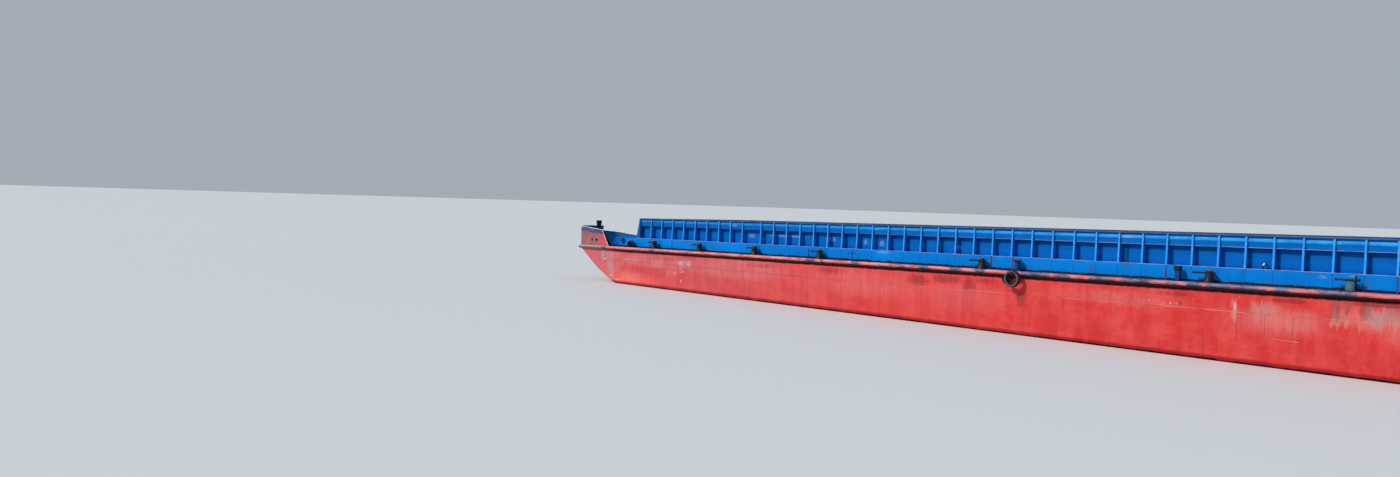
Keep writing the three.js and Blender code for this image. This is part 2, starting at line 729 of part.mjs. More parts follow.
// The coaming's port wall, from one x to another: plating, the box girder under the rail with its
// stiffener along the bottom, the stays and the corner posts.
function sideWall(from, to) {
  const outer = PLATE_FACE + STIFFENER_DEPTH;
  const stiffener = box(from + 3, to - 3, PLATE_FACE - 1, outer, STIFFENER_Z, STIFFENER_Z + STIFFENER_THICK);
  const front = GIRDER.map(([depth, off]) => [PLATE_FACE + off, GIRDER_TOP - depth]);
  const foot = STIFFENER_Z + STIFFENER_THICK / 2;
  const last = [front[front.length - 1][0], foot];
  const girder = alongX([[PLATE_FACE - 2, foot], [PLATE_FACE - 2, GIRDER_TOP], ...front, last], from + 5, to - 5);
  const stays = STAY_PLACES.flatMap((place) => stay(HOLD_AFT + place, STAY_FOOT, STAY_HEAD));
  return join([coamingPlate(from, to), stiffener, girder, ...stays, cornerPost(from, -1), cornerPost(to, 1)]);
}

// An end wall, lying as the port wall does: plating with slimmer stays and no girder.
function endWall() {
  const reach = PLATE_FACE - STAY_FLANGE / 2 - 1;
  const stays = END_STAY_PLACES.flatMap((place) => {
    return stay(Math.min(Math.max(place, -reach), reach), END_STAY_FOOT, END_STAY_HEAD);
  });
  return join([coamingPlate(-PLATE_FACE, PLATE_FACE), ...stays]);
}

function turned(geometry, quarter, x) {
  const copy = geometry.clone();
  copy.rotateZ(quarter * Math.PI / 2);
  copy.translate(x, 0, 0);
  return copy;
}

function buildCoaming() {
  const baseDepth = BASE_FACE - HOLD_HALF;
  const foot = DEPTH + GAP;
  const side = box(HOLD_AFT + GAP, HOLD_FORE - GAP, HOLD_HALF, BASE_FACE, foot, LEDGE_Z);
  pair('coaming_base', side, PAINT.coaming);
  const baseEnds = { aft: [HOLD_AFT - AFT_LEDGE, HOLD_AFT], fore: [HOLD_FORE, HOLD_FORE + baseDepth] };
  add('coaming_base_aft', box(...baseEnds.aft, -BASE_FACE, BASE_FACE, foot, LEDGE_Z), PAINT.coaming);
  add('coaming_base_fore', box(...baseEnds.fore, -BASE_FACE, BASE_FACE, foot, LEDGE_Z), PAINT.coaming);

  pair('coaming_wall', sideWall(COAMING_AFT + GAP, HOLD_FORE - GAP), PAINT.coaming);
  add('coaming_wall_aft', turned(endWall(), 1, COAMING_AFT + HOLD_HALF), PAINT.coaming);
  add('coaming_wall_fore', turned(endWall(), -1, HOLD_FORE - HOLD_HALF), PAINT.coaming);

  const lip = RAIL_LIP;
  const reach = COAMING_PLATE + STAY_HEAD + lip;
  const [aft, fore] = [-1, 1].map((way) => {
    return (way < 0 ? COAMING_AFT : HOLD_FORE) + way * (COAMING_PLATE + END_STAY_HEAD + lip);
  });
  const railSide = box(aft, fore, HOLD_HALF - lip, HOLD_HALF + reach, RAIL_Z, RAIL_TOP_Z);
  pair('coaming_rail', railSide, PAINT.rail);
  const half = HOLD_HALF - lip - GAP;
  add('coaming_rail_aft', box(aft, COAMING_AFT + lip, -half, half, RAIL_Z, RAIL_TOP_Z), PAINT.rail);
  add('coaming_rail_fore', box(HOLD_FORE - lip, fore, -half, half, RAIL_Z, RAIL_TOP_Z), PAINT.rail);
}

// The fender pipe: round outside, flat where it is welded on.
function fenderSection() {
  const points = [[GAP, -FENDER_RADIUS]];
  const steps = 8;
  for (let i = 0; i <= steps; i += 1) {
    const turn = (i / steps - 0.5) * Math.PI;
    points.push([FENDER_BACK + Math.cos(turn) * FENDER_RADIUS, Math.sin(turn) * FENDER_RADIUS]);
  }
  points.push([GAP, FENDER_RADIUS]);
  return points;
}

function buildFenders() {
  const section = fenderSection();
  const side = [-HALF_LENGTH + STERN_CORNER + GAP, BOW_START].map((x) => {
    return { at: [x, HALF_BREADTH, FENDER_Z], out: [0, 1] };
  });
  pair('fender', carried(side, section), PAINT.fender);
  const quarter = sternPlan(-HALF_LENGTH, HALF_BREADTH).reverse().map(({ at, out }) => {
    return { at: [...at, FENDER_Z], out };
  });
  pair('fender_quarter', carried(quarter, section), PAINT.fender);
  const bow = bowPlan(HALF_LENGTH, HALF_BREADTH).map(({ at, out }) => {
    return { at: [at[0], at[1], FENDER_Z + sheerAt(at[0])], out };
  });
  bow[0].at[0] += GAP;
  bow[bow.length - 1].at[1] += GAP;
  pair('fender_bow', carried(bow, section), PAINT.fender);
  const half = HALF_BREADTH - STERN_CORNER - GAP;
  const transom = [half, -half].map((y) => ({ at: [-HALF_LENGTH, y, FENDER_Z], out: [-1, 0] }));
  add('fender_stern', carried(transom, section), PAINT.fender);
}

// Bulwark section: a plate with a narrow cap along its top, in shares of its height.
function bulwarkSection() {
  const middle = -BULWARK_INSET - BULWARK_PLATE / 2;
  const [outer, inner] = [-BULWARK_INSET, -BULWARK_INSET - BULWARK_PLATE];
  const under = 0.985;
  return [
    [inner, 0], [outer, 0], [outer, under], [middle + BULWARK_CAP, under],
    [middle + BULWARK_CAP, 1], [middle - BULWARK_CAP, 1], [middle - BULWARK_CAP, under], [inner, under],
  ];
}

// A triangular bracket inside a bulwark, square to it.
function bracket({ at, out, rise }) {
  const inner = -BULWARK_INSET - BULWARK_PLATE / 2;
  const points = [[inner, 2], [inner - 0.42 * rise, 2], [inner - 0.3 * rise, 60], [inner, 0.92 * rise]];
  const plate = alongX(points, -5, 5);
  plate.rotateZ(Math.atan2(out[1], out[0]) - Math.PI / 2);
  plate.translate(at[0], at[1], at[2]);
  return plate;
}

// Bulwarks of the stern, port half: inboard in line with the ledge's face and then out towards the
// ship's side, a flat plate along the side with two mooring holes, the round quarter, and a short
// return across the transom, which is open amidships.
const STERN_KNUCKLE = HOLD_AFT - 1500;
const STERN_FLUSH = HOLD_AFT - 2200;
const INBOARD_END_Y = HALF_BREADTH - 28;
const HAWSE_HOLES = [{ x: HOLD_AFT - 2860, radius: 38 }, { x: HOLD_AFT - 2560, radius: 48 }];
const HAWSE_UP = 225;
const TRANSOM_OPEN = 2200;

function sternRise(x) {
  return BULWARK_LOW + (BULWARK_STERN_TOP - BULWARK_LOW) * (HOLD_AFT - x) / STERN_LENGTH;
}

function sternStation(x, y, out = [0, 1]) {
  return { at: [x, y, DEPTH + GAP], out, rise: sternRise(x) };
}

function inboardBulwark() {
  const start = HOLD_AFT - AFT_LEDGE - GAP;
  const slope = (HALF_BREADTH - BASE_FACE) / (STERN_KNUCKLE - STERN_FLUSH);
  const end = STERN_KNUCKLE - (INBOARD_END_Y - BASE_FACE) / slope;
  const wall = carried([
    sternStation(start, BASE_FACE),
    sternStation(STERN_KNUCKLE, BASE_FACE, [-0.2, 0.98]),
    sternStation(end, INBOARD_END_Y, [-0.2, 0.98]),
  ], bulwarkSection());
  const pillar = post(end, INBOARD_END_Y - 9, DEPTH + 3, DEPTH + 0.95 * sternRise(end), 20, 8);
  const brackets = [-700, -1400].map((x) => bracket(sternStation(HOLD_AFT + x, BASE_FACE)));
  return join([wall, pillar, ...brackets]);
}

// The side plate. Its fore edge slopes down to the deck.
function sideBulwark() {
  const corner = -HALF_LENGTH + STERN_CORNER + GAP;
  const wall = carried([
    sternStation(STERN_FLUSH, HALF_BREADTH), sternStation(corner, HALF_BREADTH),
  ], bulwarkSection());
  const top = DEPTH + 0.95 * sternRise(STERN_FLUSH);
  const [low, aft] = [DEPTH + GAP, STERN_FLUSH - 60];
  const edge = [[aft, low], [STERN_FLUSH + 420, low], [STERN_FLUSH + 20, top], [aft, top]];
  const outer = HALF_BREADTH - BULWARK_INSET;
  const wing = alongY(edge, outer - BULWARK_PLATE, outer);
  const brackets = [-2700, -3300].map((x) => bracket(sternStation(HOLD_AFT + x, HALF_BREADTH)));
  const holes = HAWSE_HOLES.map(({ x, radius }) => {
    return rod(x, HALF_BREADTH - 100, HALF_BREADTH + 100, DEPTH + HAWSE_UP, radius);
  });
  return cut(join([wall, wing, ...brackets]), holes);
}

function quarterBulwark() {
  const stations = sternPlan(-HALF_LENGTH, HALF_BREADTH).map(({ at, out }) => sternStation(...at, out));
  return carried(stations, bulwarkSection());
}

function transomBulwark() {
  const ends = [HALF_BREADTH - STERN_CORNER - GAP, TRANSOM_OPEN].map((y) => {
    return { at: [-HALF_LENGTH, y, DEPTH + GAP], out: [-1, 0], rise: BULWARK_STERN_TOP };
  });
  const stiff = bracket({ at: [-HALF_LENGTH, TRANSOM_OPEN + 60, DEPTH + GAP], out: [-1, 0], rise: BULWARK_STERN_TOP });
  return join([carried(ends, bulwarkSection()), stiff]);
}

function bowBulwark() {
  const start = HOLD_FORE + (BASE_FACE - HOLD_HALF) + GAP;
  const rise = (x) => {
    return BULWARK_LOW + (BULWARK_BOW_TOP - BULWARK_LOW) * (x - HOLD_FORE) / (HALF_LENGTH - HOLD_FORE);
  };
  const run = [
    { at: [start, BASE_FACE], out: [0, 1] },
    { at: [BOW_START, BASE_FACE], out: [-0.15, 0.99] },
    ...bowPlan(HALF_LENGTH, HALF_BREADTH).slice(1),
  ];
  const path = run.map(({ at, out }) => {
    return { at: [at[0], at[1], DEPTH + GAP + sheerAt(at[0])], out, rise: rise(at[0]) };
  });
  path[path.length - 1].at[1] += GAP;
  const stations = path.filter((station, i) => i > 3 && i % 2 === 0 && i < path.length - 1);
  return join([carried(path, bulwarkSection()), ...stations.map(bracket)]);
}

function buildBulwarks() {
  pair('bulwark_inboard', inboardBulwark(), PAINT.coaming);
  pair('bulwark_side', sideBulwark(), PAINT.hull);
  pair('bulwark_quarter', quarterBulwark(), PAINT.hull);
  pair('bulwark_transom', transomBulwark(), PAINT.hull);
  pair('bulwark_bow', bowBulwark(), PAINT.hull);
}

buildHull();
pair('skeg', skeg(), PAINT.hull);
pair('side_deck', sideDeck(), PAINT.black);
buildCoaming();
buildFenders();
buildBulwarks();
buildFittings();

export default barge;
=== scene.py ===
# Looks of the river barge: camera, stage, worn paint, and the detail that the solids leave out.
# Metres, in the frame of the part: +X towards the bow, +Y to port, +Z up, Z = 0 on the flat bottom.
import math
import random

import bpy
from mathutils import Matrix, Vector


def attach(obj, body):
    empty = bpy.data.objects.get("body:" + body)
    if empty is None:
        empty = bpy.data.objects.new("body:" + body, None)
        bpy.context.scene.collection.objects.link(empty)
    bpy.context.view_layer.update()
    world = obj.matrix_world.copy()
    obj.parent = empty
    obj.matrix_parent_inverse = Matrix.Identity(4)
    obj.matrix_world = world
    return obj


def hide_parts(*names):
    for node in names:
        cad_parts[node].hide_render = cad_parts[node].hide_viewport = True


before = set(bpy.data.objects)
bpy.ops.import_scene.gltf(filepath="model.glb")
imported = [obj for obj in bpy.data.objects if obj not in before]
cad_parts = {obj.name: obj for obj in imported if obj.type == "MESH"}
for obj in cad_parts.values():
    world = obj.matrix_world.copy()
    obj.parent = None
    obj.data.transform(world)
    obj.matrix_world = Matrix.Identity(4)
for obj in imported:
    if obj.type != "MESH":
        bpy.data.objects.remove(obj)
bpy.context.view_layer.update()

# Hull and coaming, as in the part's source.
DECK_Z = 2.0
HOLD_AFT = -14.1
HOLD_FORE = 12.6
HOLD_HALF = 2.94
HOLD_FLOOR = 0.3
BAY = 0.6
LEDGE_Z = 2.36
PLATE_FACE = 2.95
LEDGE_FACE = 3.15
COAMING_AFT = -14.36
AFT_LEDGE = -14.55
STIFFENER_Z = 2.83
STIFFENER_THICK = 0.012
STAY_WEB = 0.01
GIRDER = [(0, 0.096), (0.040, 0.110), (0.095, 0.117), (0.160, 0.114), (0.25, 0.114)]
GIRDER_TOP = 3.088
RAIL_TOP = 3.118
SIDE_Y = 3.5
FENDER_Z = 1.93
FENDER_BACK = 0.03
FENDER_RADIUS = 0.07
SIDE_DECK_Y = 3.32
BOW_START = 13.3
STERN_END = -18.0
STERN_CORNER = 0.4
STERN_KNUCKLE = -15.6
STERN_FLUSH = -16.3
TRANSOM_OPEN = 2.2
BULWARK_MIDDLE = 0.009
BULWARK_LOW = 0.43
BULWARK_CLIMB = 0.33
BULWARK_RUN = 3.9
WINCH_X, WINCH_Z = 14.35, 2.2903
TYRE = {"x": 2.2, "back": 3.622, "z": 1.812, "radius": 0.225, "hole": 0.135, "width": 0.15}

# Where the coaming's stays stand along a side, between its corner posts, and across an end.
AFT_BAY = 0.632
CORNER_LAP = 0.01
STAYS = [7 * BAY - (6 - i) * AFT_BAY for i in range(6)] + [7 * BAY, 8 * BAY, 9 * BAY]
STAYS += [(10.5 + i) * BAY for i in range(34)]
SIDE_STAYS = [COAMING_AFT + CORNER_LAP] + [HOLD_AFT + place for place in STAYS] + [HOLD_FORE - CORNER_LAP]
END_STAYS = [-2.927] + [(i - 4) * BAY for i in range(9)] + [2.927]

# The photograph's camera: its place, heading, and the lens in pixels for a picture 1400 wide.
CAMERA_AT = (17.71, -28.26, 3.31)
CAMERA_AZIMUTH = 48.68
CAMERA_ELEVATION = -1.29
CAMERA_ROLL = 1.26
FOCAL_PIXELS = 1064
PICTURE_WIDTH = 1400
SENSOR = 36.0

# The waterline on the hull, which trims a little by the stern.
LINE_Z = 0.568
LINE_SLOPE = -0.0149


def waterline_at(x):
    return LINE_Z + LINE_SLOPE * (x - HOLD_AFT)


def rgb(red, green, blue):
    """A colour as it looks on screen, 0 to 255, as linear light."""
    return tuple(
        (value / 255 / 12.92) if value <= 10 else ((value / 255 + 0.055) / 1.055) ** 2.4
        for value in (red, green, blue)
    )


# Stage


def make_camera():
    data = bpy.data.cameras.new("camera")
    data.sensor_width = SENSOR
    data.sensor_fit = "HORIZONTAL"
    data.lens = FOCAL_PIXELS / PICTURE_WIDTH * SENSOR
    data.clip_end = 2000
    azimuth, elevation, roll = (
        math.radians(angle) for angle in (CAMERA_AZIMUTH, CAMERA_ELEVATION, CAMERA_ROLL)
    )
    ahead = Vector((
        -math.sin(azimuth) * math.cos(elevation),
        math.cos(azimuth) * math.cos(elevation),
        math.sin(elevation),
    ))
    level = Vector((math.cos(azimuth), math.sin(azimuth), 0))
    upright = level.cross(ahead)
    right = level * math.cos(roll) + upright * math.sin(roll)
    up = -level * math.sin(roll) + upright * math.cos(roll)
    camera = bpy.data.objects.new("camera", data)
    turn = Matrix((right, up, -ahead)).transposed()
    camera.matrix_world = Matrix.Translation(CAMERA_AT) @ turn.to_4x4()
    bpy.context.collection.objects.link(camera)
    bpy.context.scene.camera = camera


def make_floor():
    """A pale plane at the waterline, open inside the hull, and clear from below to show the bottom."""
    reach = 900
    mesh = bpy.data.meshes.new("floor")
    outer = [(-reach, -reach), (reach, -reach), (reach, reach), (-reach, reach)]
    aft, fore, side = HOLD_AFT - 0.1, HOLD_FORE + 0.1, HOLD_HALF + 0.1
    inner = [(aft, -side), (fore, -side), (fore, side), (aft, side)]
    corners = [(x, y, waterline_at(x)) for x, y in outer + inner]
    mesh.from_pydata(corners, [], [(0, 1, 5, 4), (1, 2, 6, 5), (2, 3, 7, 6), (3, 0, 4, 7)])
    floor = bpy.data.objects.new("floor", mesh)
    bpy.context.collection.objects.link(floor)
    material = bpy.data.materials.new("floor")
    material.use_nodes = True
    tree = material.node_tree
    shader = tree.nodes["Principled BSDF"]
    shader.inputs["Base Color"].default_value = (0.60, 0.64, 0.66, 1)
    shader.inputs["Roughness"].default_value = 0.55
    geometry = tree.nodes.new("ShaderNodeNewGeometry")
    clear = tree.nodes.new("ShaderNodeBsdfTransparent")
    choice = tree.nodes.new("ShaderNodeMixShader")
    tree.links.new(geometry.outputs["Backfacing"], choice.inputs[0])
    tree.links.new(shader.outputs[0], choice.inputs[1])
    tree.links.new(clear.outputs[0], choice.inputs[2])
    tree.links.new(choice.outputs[0], tree.nodes["Material Output"].inputs["Surface"])
    mesh.materials.append(material)


SUN_TRAVEL = (0.34, 0.88, -0.86)
SUN_STRENGTH = 3.0
SUN_WIDTH = 8
SKY_STRENGTH = 0.46


def make_lights():
    sun = bpy.data.lights.new("sun", "SUN")
    sun.energy = SUN_STRENGTH
    sun.angle = math.radians(SUN_WIDTH)
    sun.color = (1.0, 0.97, 0.93)
    lamp = bpy.data.objects.new("sun", sun)
    lamp.rotation_euler = Vector(SUN_TRAVEL).to_track_quat("-Z", "Y").to_euler()
    bpy.context.collection.objects.link(lamp)
    world = bpy.data.worlds.new("sky")
    world.use_nodes = True
    background = world.node_tree.nodes["Background"]
    background.inputs["Color"].default_value = (0.80, 0.89, 1.0, 1)
    background.inputs["Strength"].default_value = SKY_STRENGTH
    bpy.context.scene.world = world
    bpy.context.scene.view_settings.view_transform = "Standard"


# Node materials


class Value:
    """A node's output, open to Python's arithmetic."""

    def __init__(self, paint, socket):
        self.paint = paint
        self.socket = socket

    def __add__(self, other):
        return self.paint.calc("ADD", self, other)

    def __sub__(self, other):
        return self.paint.calc("SUBTRACT", self, other)

    def __rsub__(self, other):
        return self.paint.calc("SUBTRACT", other, self)

    def __mul__(self, other):
        return self.paint.calc("MULTIPLY", self, other)

    def __truediv__(self, other):
        return self.paint.calc("DIVIDE", self, other)

    def __abs__(self):
        return self.paint.calc("ABSOLUTE", self)


class Paint:
    """A node material in the making. Inputs are numbers, Values, or colours as rgb reads them."""

    def __init__(self, name, roughness=0.5, metallic=0.0):
        self.material = bpy.data.materials.new(name)
        self.material.use_nodes = True
        self.tree = self.material.node_tree
        self.shader = self.tree.nodes["Principled BSDF"]
        self.shader.inputs["Metallic"].default_value = metallic
        self.shader.inputs["Roughness"].default_value = roughness
        coordinates = self.tree.nodes.new("ShaderNodeTexCoord")
        self.place = Value(self, coordinates.outputs["Object"])
        self.x, self.y, self.z = self.split(self.place)
        self.nx, self.ny, _ = self.split(Value(self, coordinates.outputs["Normal"]))

    def set(self, socket, value):
        if isinstance(value, Value):
            self.tree.links.new(value.socket, socket)
        elif isinstance(value, (int, float)):
            socket.default_value = value
        elif socket.type == "RGBA":
            socket.default_value = (*rgb(*value), 1)
        else:
            socket.default_value = value

    def make(self, kind, inputs, **settings):
        """A new node's outputs."""
        node = self.tree.nodes.new("ShaderNode" + kind)
        for key, value in settings.items():
            setattr(node, key, value)
        for key, value in inputs.items():
            self.set(node.inputs[key], value)
        return [Value(self, socket) for socket in node.outputs]

    def split(self, vector):
        return self.make("SeparateXYZ", {0: vector})

    def calc(self, operation, a, b=0.0):
        return self.make("Math", {0: a, 1: b}, operation=operation)[0]

    def less(self, a, b):
        return self.calc("LESS_THAN", a, b)

    def more(self, a, b):
        return self.calc("GREATER_THAN", a, b)

    def either(self, a, b):
        return self.calc("MAXIMUM", a, b)

    def ease(self, value, low, high):
        """0 where value is at low, 1 at high, smooth between. low may be above high."""
        return self.make("MapRange", {0: value, 1: low, 2: high}, interpolation_type="SMOOTHSTEP")[0]

    def spots(self, low, high, *noise):
        """Noise eased from 0 at low to 1 at high."""
        return self.ease(self.noise(*noise), low, high)

    def noise(self, scale, detail=4.0, rough=0.6, shift=(0, 0, 0), warp=0.0):
        """Noise from 0 to 1, mostly 0.3 to 0.7, with scale features a metre along each axis."""
        spread = (scale,) * 3 if isinstance(scale, (int, float)) else scale
        place = self.make("Mapping", {"Vector": self.place, "Location": shift, "Scale": spread})[0]
        inputs = {"Vector": place, "Scale": 1.0, "Detail": detail, "Roughness": rough, "Distortion": warp}
        return self.make("TexNoise", inputs)[0]

    def mix(self, factor, a, b):
        return self.make("Mix", {0: factor, 6: a, 7: b}, data_type="RGBA")[2]

    def blend(self, factor, a, b):
        return self.make("Mix", {0: factor, 2: a, 3: b})[0]

    def patch(self, x, z, wide, high):
        """1 at (x, z), falling to 0 at the edge of an upright oval."""
        across = (self.x - x) / wide
        up = (self.z - z) / high
        square = across * across + up * up
        return self.either(1 - square, 0.0)

    def patches(self, table):
        """The strongest of several patches, each row (x, z, half width, half height, strength)."""
        whole = 0.0
        for x, z, wide, high, strength in table:
            whole = self.either(whole, self.patch(x, z, wide, high) * strength)
        return whole

    def smears(self, table):
        """The strongest of several upright smears with torn ends, in rows like those of GREY_SMEARS."""
        column = self.noise((13, 13, 0.8), 5, 0.75, (5, 2, 7))
        wobble = self.noise((3, 3, 8), 5, 0.75, (2, 8, 3))
        x = self.x + (wobble - 0.5) * 0.34
        z = self.z + (column - 0.5) * 0.75
        inner = self.ease(column, 0.36, 0.60) * 0.55 + 0.45
        whole = 0.0
        for after, fore, low, top, strength in table:
            mark = self.band(x, after, fore, 0.07) * self.band(z, low, top, 0.14)
            whole = self.either(whole, mark * strength)
        return whole * inner

    def bump(self, height, depth, strength=1.0):
        """Bumps of that depth in metres from a 0 to 1 height."""
        inputs = {"Height": height, "Distance": depth, "Strength": strength}
        self.set(self.shader.inputs["Normal"], self.make("Bump", inputs)[0])

    def finish(self, colour, roughness=None, metallic=None, shine=0.25):
        self.set(self.shader.inputs["Base Color"], colour)
        self.shader.inputs["Specular IOR Level"].default_value = shine
        if roughness is not None:
            self.set(self.shader.inputs["Roughness"], roughness)
        if metallic is not None:
            self.set(self.shader.inputs["Metallic"], metallic)
        return self.material

    def in_hold(self, after_end=HOLD_AFT):
        """1 on the faces that look into the hold."""
        inside = self.less(abs(self.y), HOLD_HALF + 0.006)
        inside *= self.more(self.x, after_end - 0.006)
        inside *= self.less(self.x, HOLD_FORE + 0.006)
        return inside * self.more(self.z, HOLD_FLOOR - 0.005)

    def band(self, value, low, high, soft):
        """1 where value lies between low and high, falling to 0 over the width soft at each side."""
        return self.ease(value, low - soft, low) * self.ease(value, high + soft, high)

    def off(self):
        """Distance off the centre plane."""
        return abs(self.y)

    def above_line(self):
        """Height above the waterline, in metres."""
        line = self.x * LINE_SLOPE + (LINE_Z - LINE_SLOPE * HOLD_AFT)
        return self.z - line


def hold_steel(paint):
    """Colour of the hold's plating: scrape marks over rust, black dust near the floor."""
    rusty = paint.spots(0.35, 0.65, (1.3, 1.3, 0.7), 6, 0.65)
    rust = paint.mix(rusty, (74, 60, 54), (102, 70, 52))
    scraped = paint.spots(0.56, 0.68, (0.9, 0.9, 14), 4, 0.6, (3, 1, 0))
    steel = paint.mix(scraped * 0.45, rust, (106, 98, 94))
    dusty = paint.noise(2.2, 5, 0.7, (7, 0, 2))
    low = paint.ease(paint.z + dusty * 0.9, 1.6, 0.7)
    return paint.mix(low * 0.85, steel, (40, 40, 43))


# Upright smears on the ship's side, grey, dark and beige: after end, fore end, low, top, strength.
GREY_SMEARS = [
    (-16.28, -16.16, 1.54, 1.86, 1.2), (-16.05, -15.60, 1.58, 1.80, 0.5), (-15.86, -15.70, 1.12, 1.52, 0.9),
    (-15.74, -15.52, 0.86, 1.25, 0.9), (-11.50, -11.05, 1.44, 1.58, 0.9), (-14.9, -14.0, 1.46, 1.56, 0.3),
    (8.15, 8.60, 1.46, 1.58, 0.4), (10.40, 10.90, 1.44, 1.64, 0.75), (11.12, 11.45, 1.54, 1.70, 0.5),
]
DARK_SMEARS = [
    (9.72, 9.86, 1.50, 1.80, 0.8), (9.95, 10.05, 1.62, 1.78, 0.7), (10.30, 10.45, 1.58, 1.76, 0.8),
    (10.75, 10.90, 1.60, 1.76, 0.5), (11.15, 11.45, 1.66, 1.80, 0.9),
]
BEIGE_SMEARS = [
    (8.1, 8.7, 1.30, 1.58, 0.45), (8.6, 9.4, 1.18, 1.45, 0.35), (9.75, 10.05, 1.36, 1.52, 0.8),
    (10.1, 11.0, 1.34, 1.55, 0.6), (11.0, 11.7, 1.30, 1.50, 0.35), (7.73, 7.79, 1.28, 1.60, 1.0),
    (12.3, 13.2, 0.9, 1.5, 0.4), (11.7, 12.6, 0.75, 1.2, 0.35), (-13.2, -12.5, 1.42, 1.56, 0.5),
    (-15.0, -13.9, 0.80, 0.98, 0.5), (-12.2, -11.7, 1.12, 1.25, 0.45),
]
# Flaked places, showing pale chips: x, z, half width, half height, strength. The next tables are alike.
FLAKED = [
    (-11.50, 1.55, 0.26, 0.15, 1.3), (-11.02, 1.55, 0.20, 0.20, 1.2), (-11.40, 1.24, 0.22, 0.12, 1.1),
    (-11.80, 1.18, 0.16, 0.10, 0.9), (-11.45, 0.90, 0.05, 0.07, 2.0), (-14.7, 1.515, 0.40, 0.03, 1.2),
    (-14.1, 1.52, 0.25, 0.035, 1.1), (-12.95, 1.48, 0.40, 0.05, 0.9), (-15.60, 0.89, 0.09, 0.05, 2.4),
    (-15.25, 0.72, 0.30, 0.07, 1.3), (-16.02, 1.50, 0.16, 0.05, 1.8), (-9.0, 1.46, 0.4, 0.04, 0.8),
    (7.76, 1.52, 0.05, 0.12, 1.7), (6.35, 1.47, 0.35, 0.05, 0.85), (5.7, 1.50, 0.5, 0.04, 0.6),
    (11.95, 0.72, 0.10, 0.10, 1.2), (12.9, 0.8, 0.25, 0.25, 1.2), (2.8, 1.45, 0.3, 0.05, 0.6),
]
SMUDGES = [
    (-1.0, 1.58, 0.60, 0.24, 0.95), (0.0, 1.66, 0.70, 0.20, 1.0), (0.75, 1.55, 0.35, 0.30, 0.9),
    (1.25, 1.68, 0.60, 0.12, 0.8), (2.35, 1.30, 0.26, 0.34, 0.85), (-4.3, 1.66, 0.9, 0.16, 0.8),
    (8.9, 1.72, 0.50, 0.07, 1.3), (10.6, 1.76, 0.90, 0.07, 1.1), (-7.2, 1.66, 1.2, 0.12, 0.7),
    (6.53, 1.50, 0.035, 0.07, 1.9), (6.4, 1.70, 0.7, 0.10, 0.8), (-12.4, 1.66, 2.0, 0.13, 0.6),
]
FADED = [
    (8.6, 1.25, 1.3, 0.42, 0.8), (11.6, 1.25, 1.5, 0.45, 0.8), (5.0, 1.5, 2.0, 0.25, 0.6),
    (-3.0, 1.3, 3.0, 0.5, 0.6), (-16.4, 1.5, 1.7, 0.8, 1.7), (-13.0, 1.55, 2.6, 0.3, 1.2),
    (-8.6, 1.5, 3.2, 0.45, 1.1), (0.5, 1.2, 1.8, 0.5, 0.5),
]
# Painted shade, with some grime, on the hull behind the tyre, where it shows through the tyre's hole.
TYRE_SHADE_AND_GRIME = [(TYRE["x"] - 0.27, TYRE["z"], 0.19, 0.20, 1.6)]


def streaky(paint, shift):
    """Noise drawn out into upright streaks, with torn edges."""
    long_streaks = paint.noise((8, 8, 1.3), 5, 0.7, shift)
    fine = paint.noise((14, 14, 9), 6, 0.75, shift, 0.3)
    return long_streaks * 0.6 + fine * 0.4


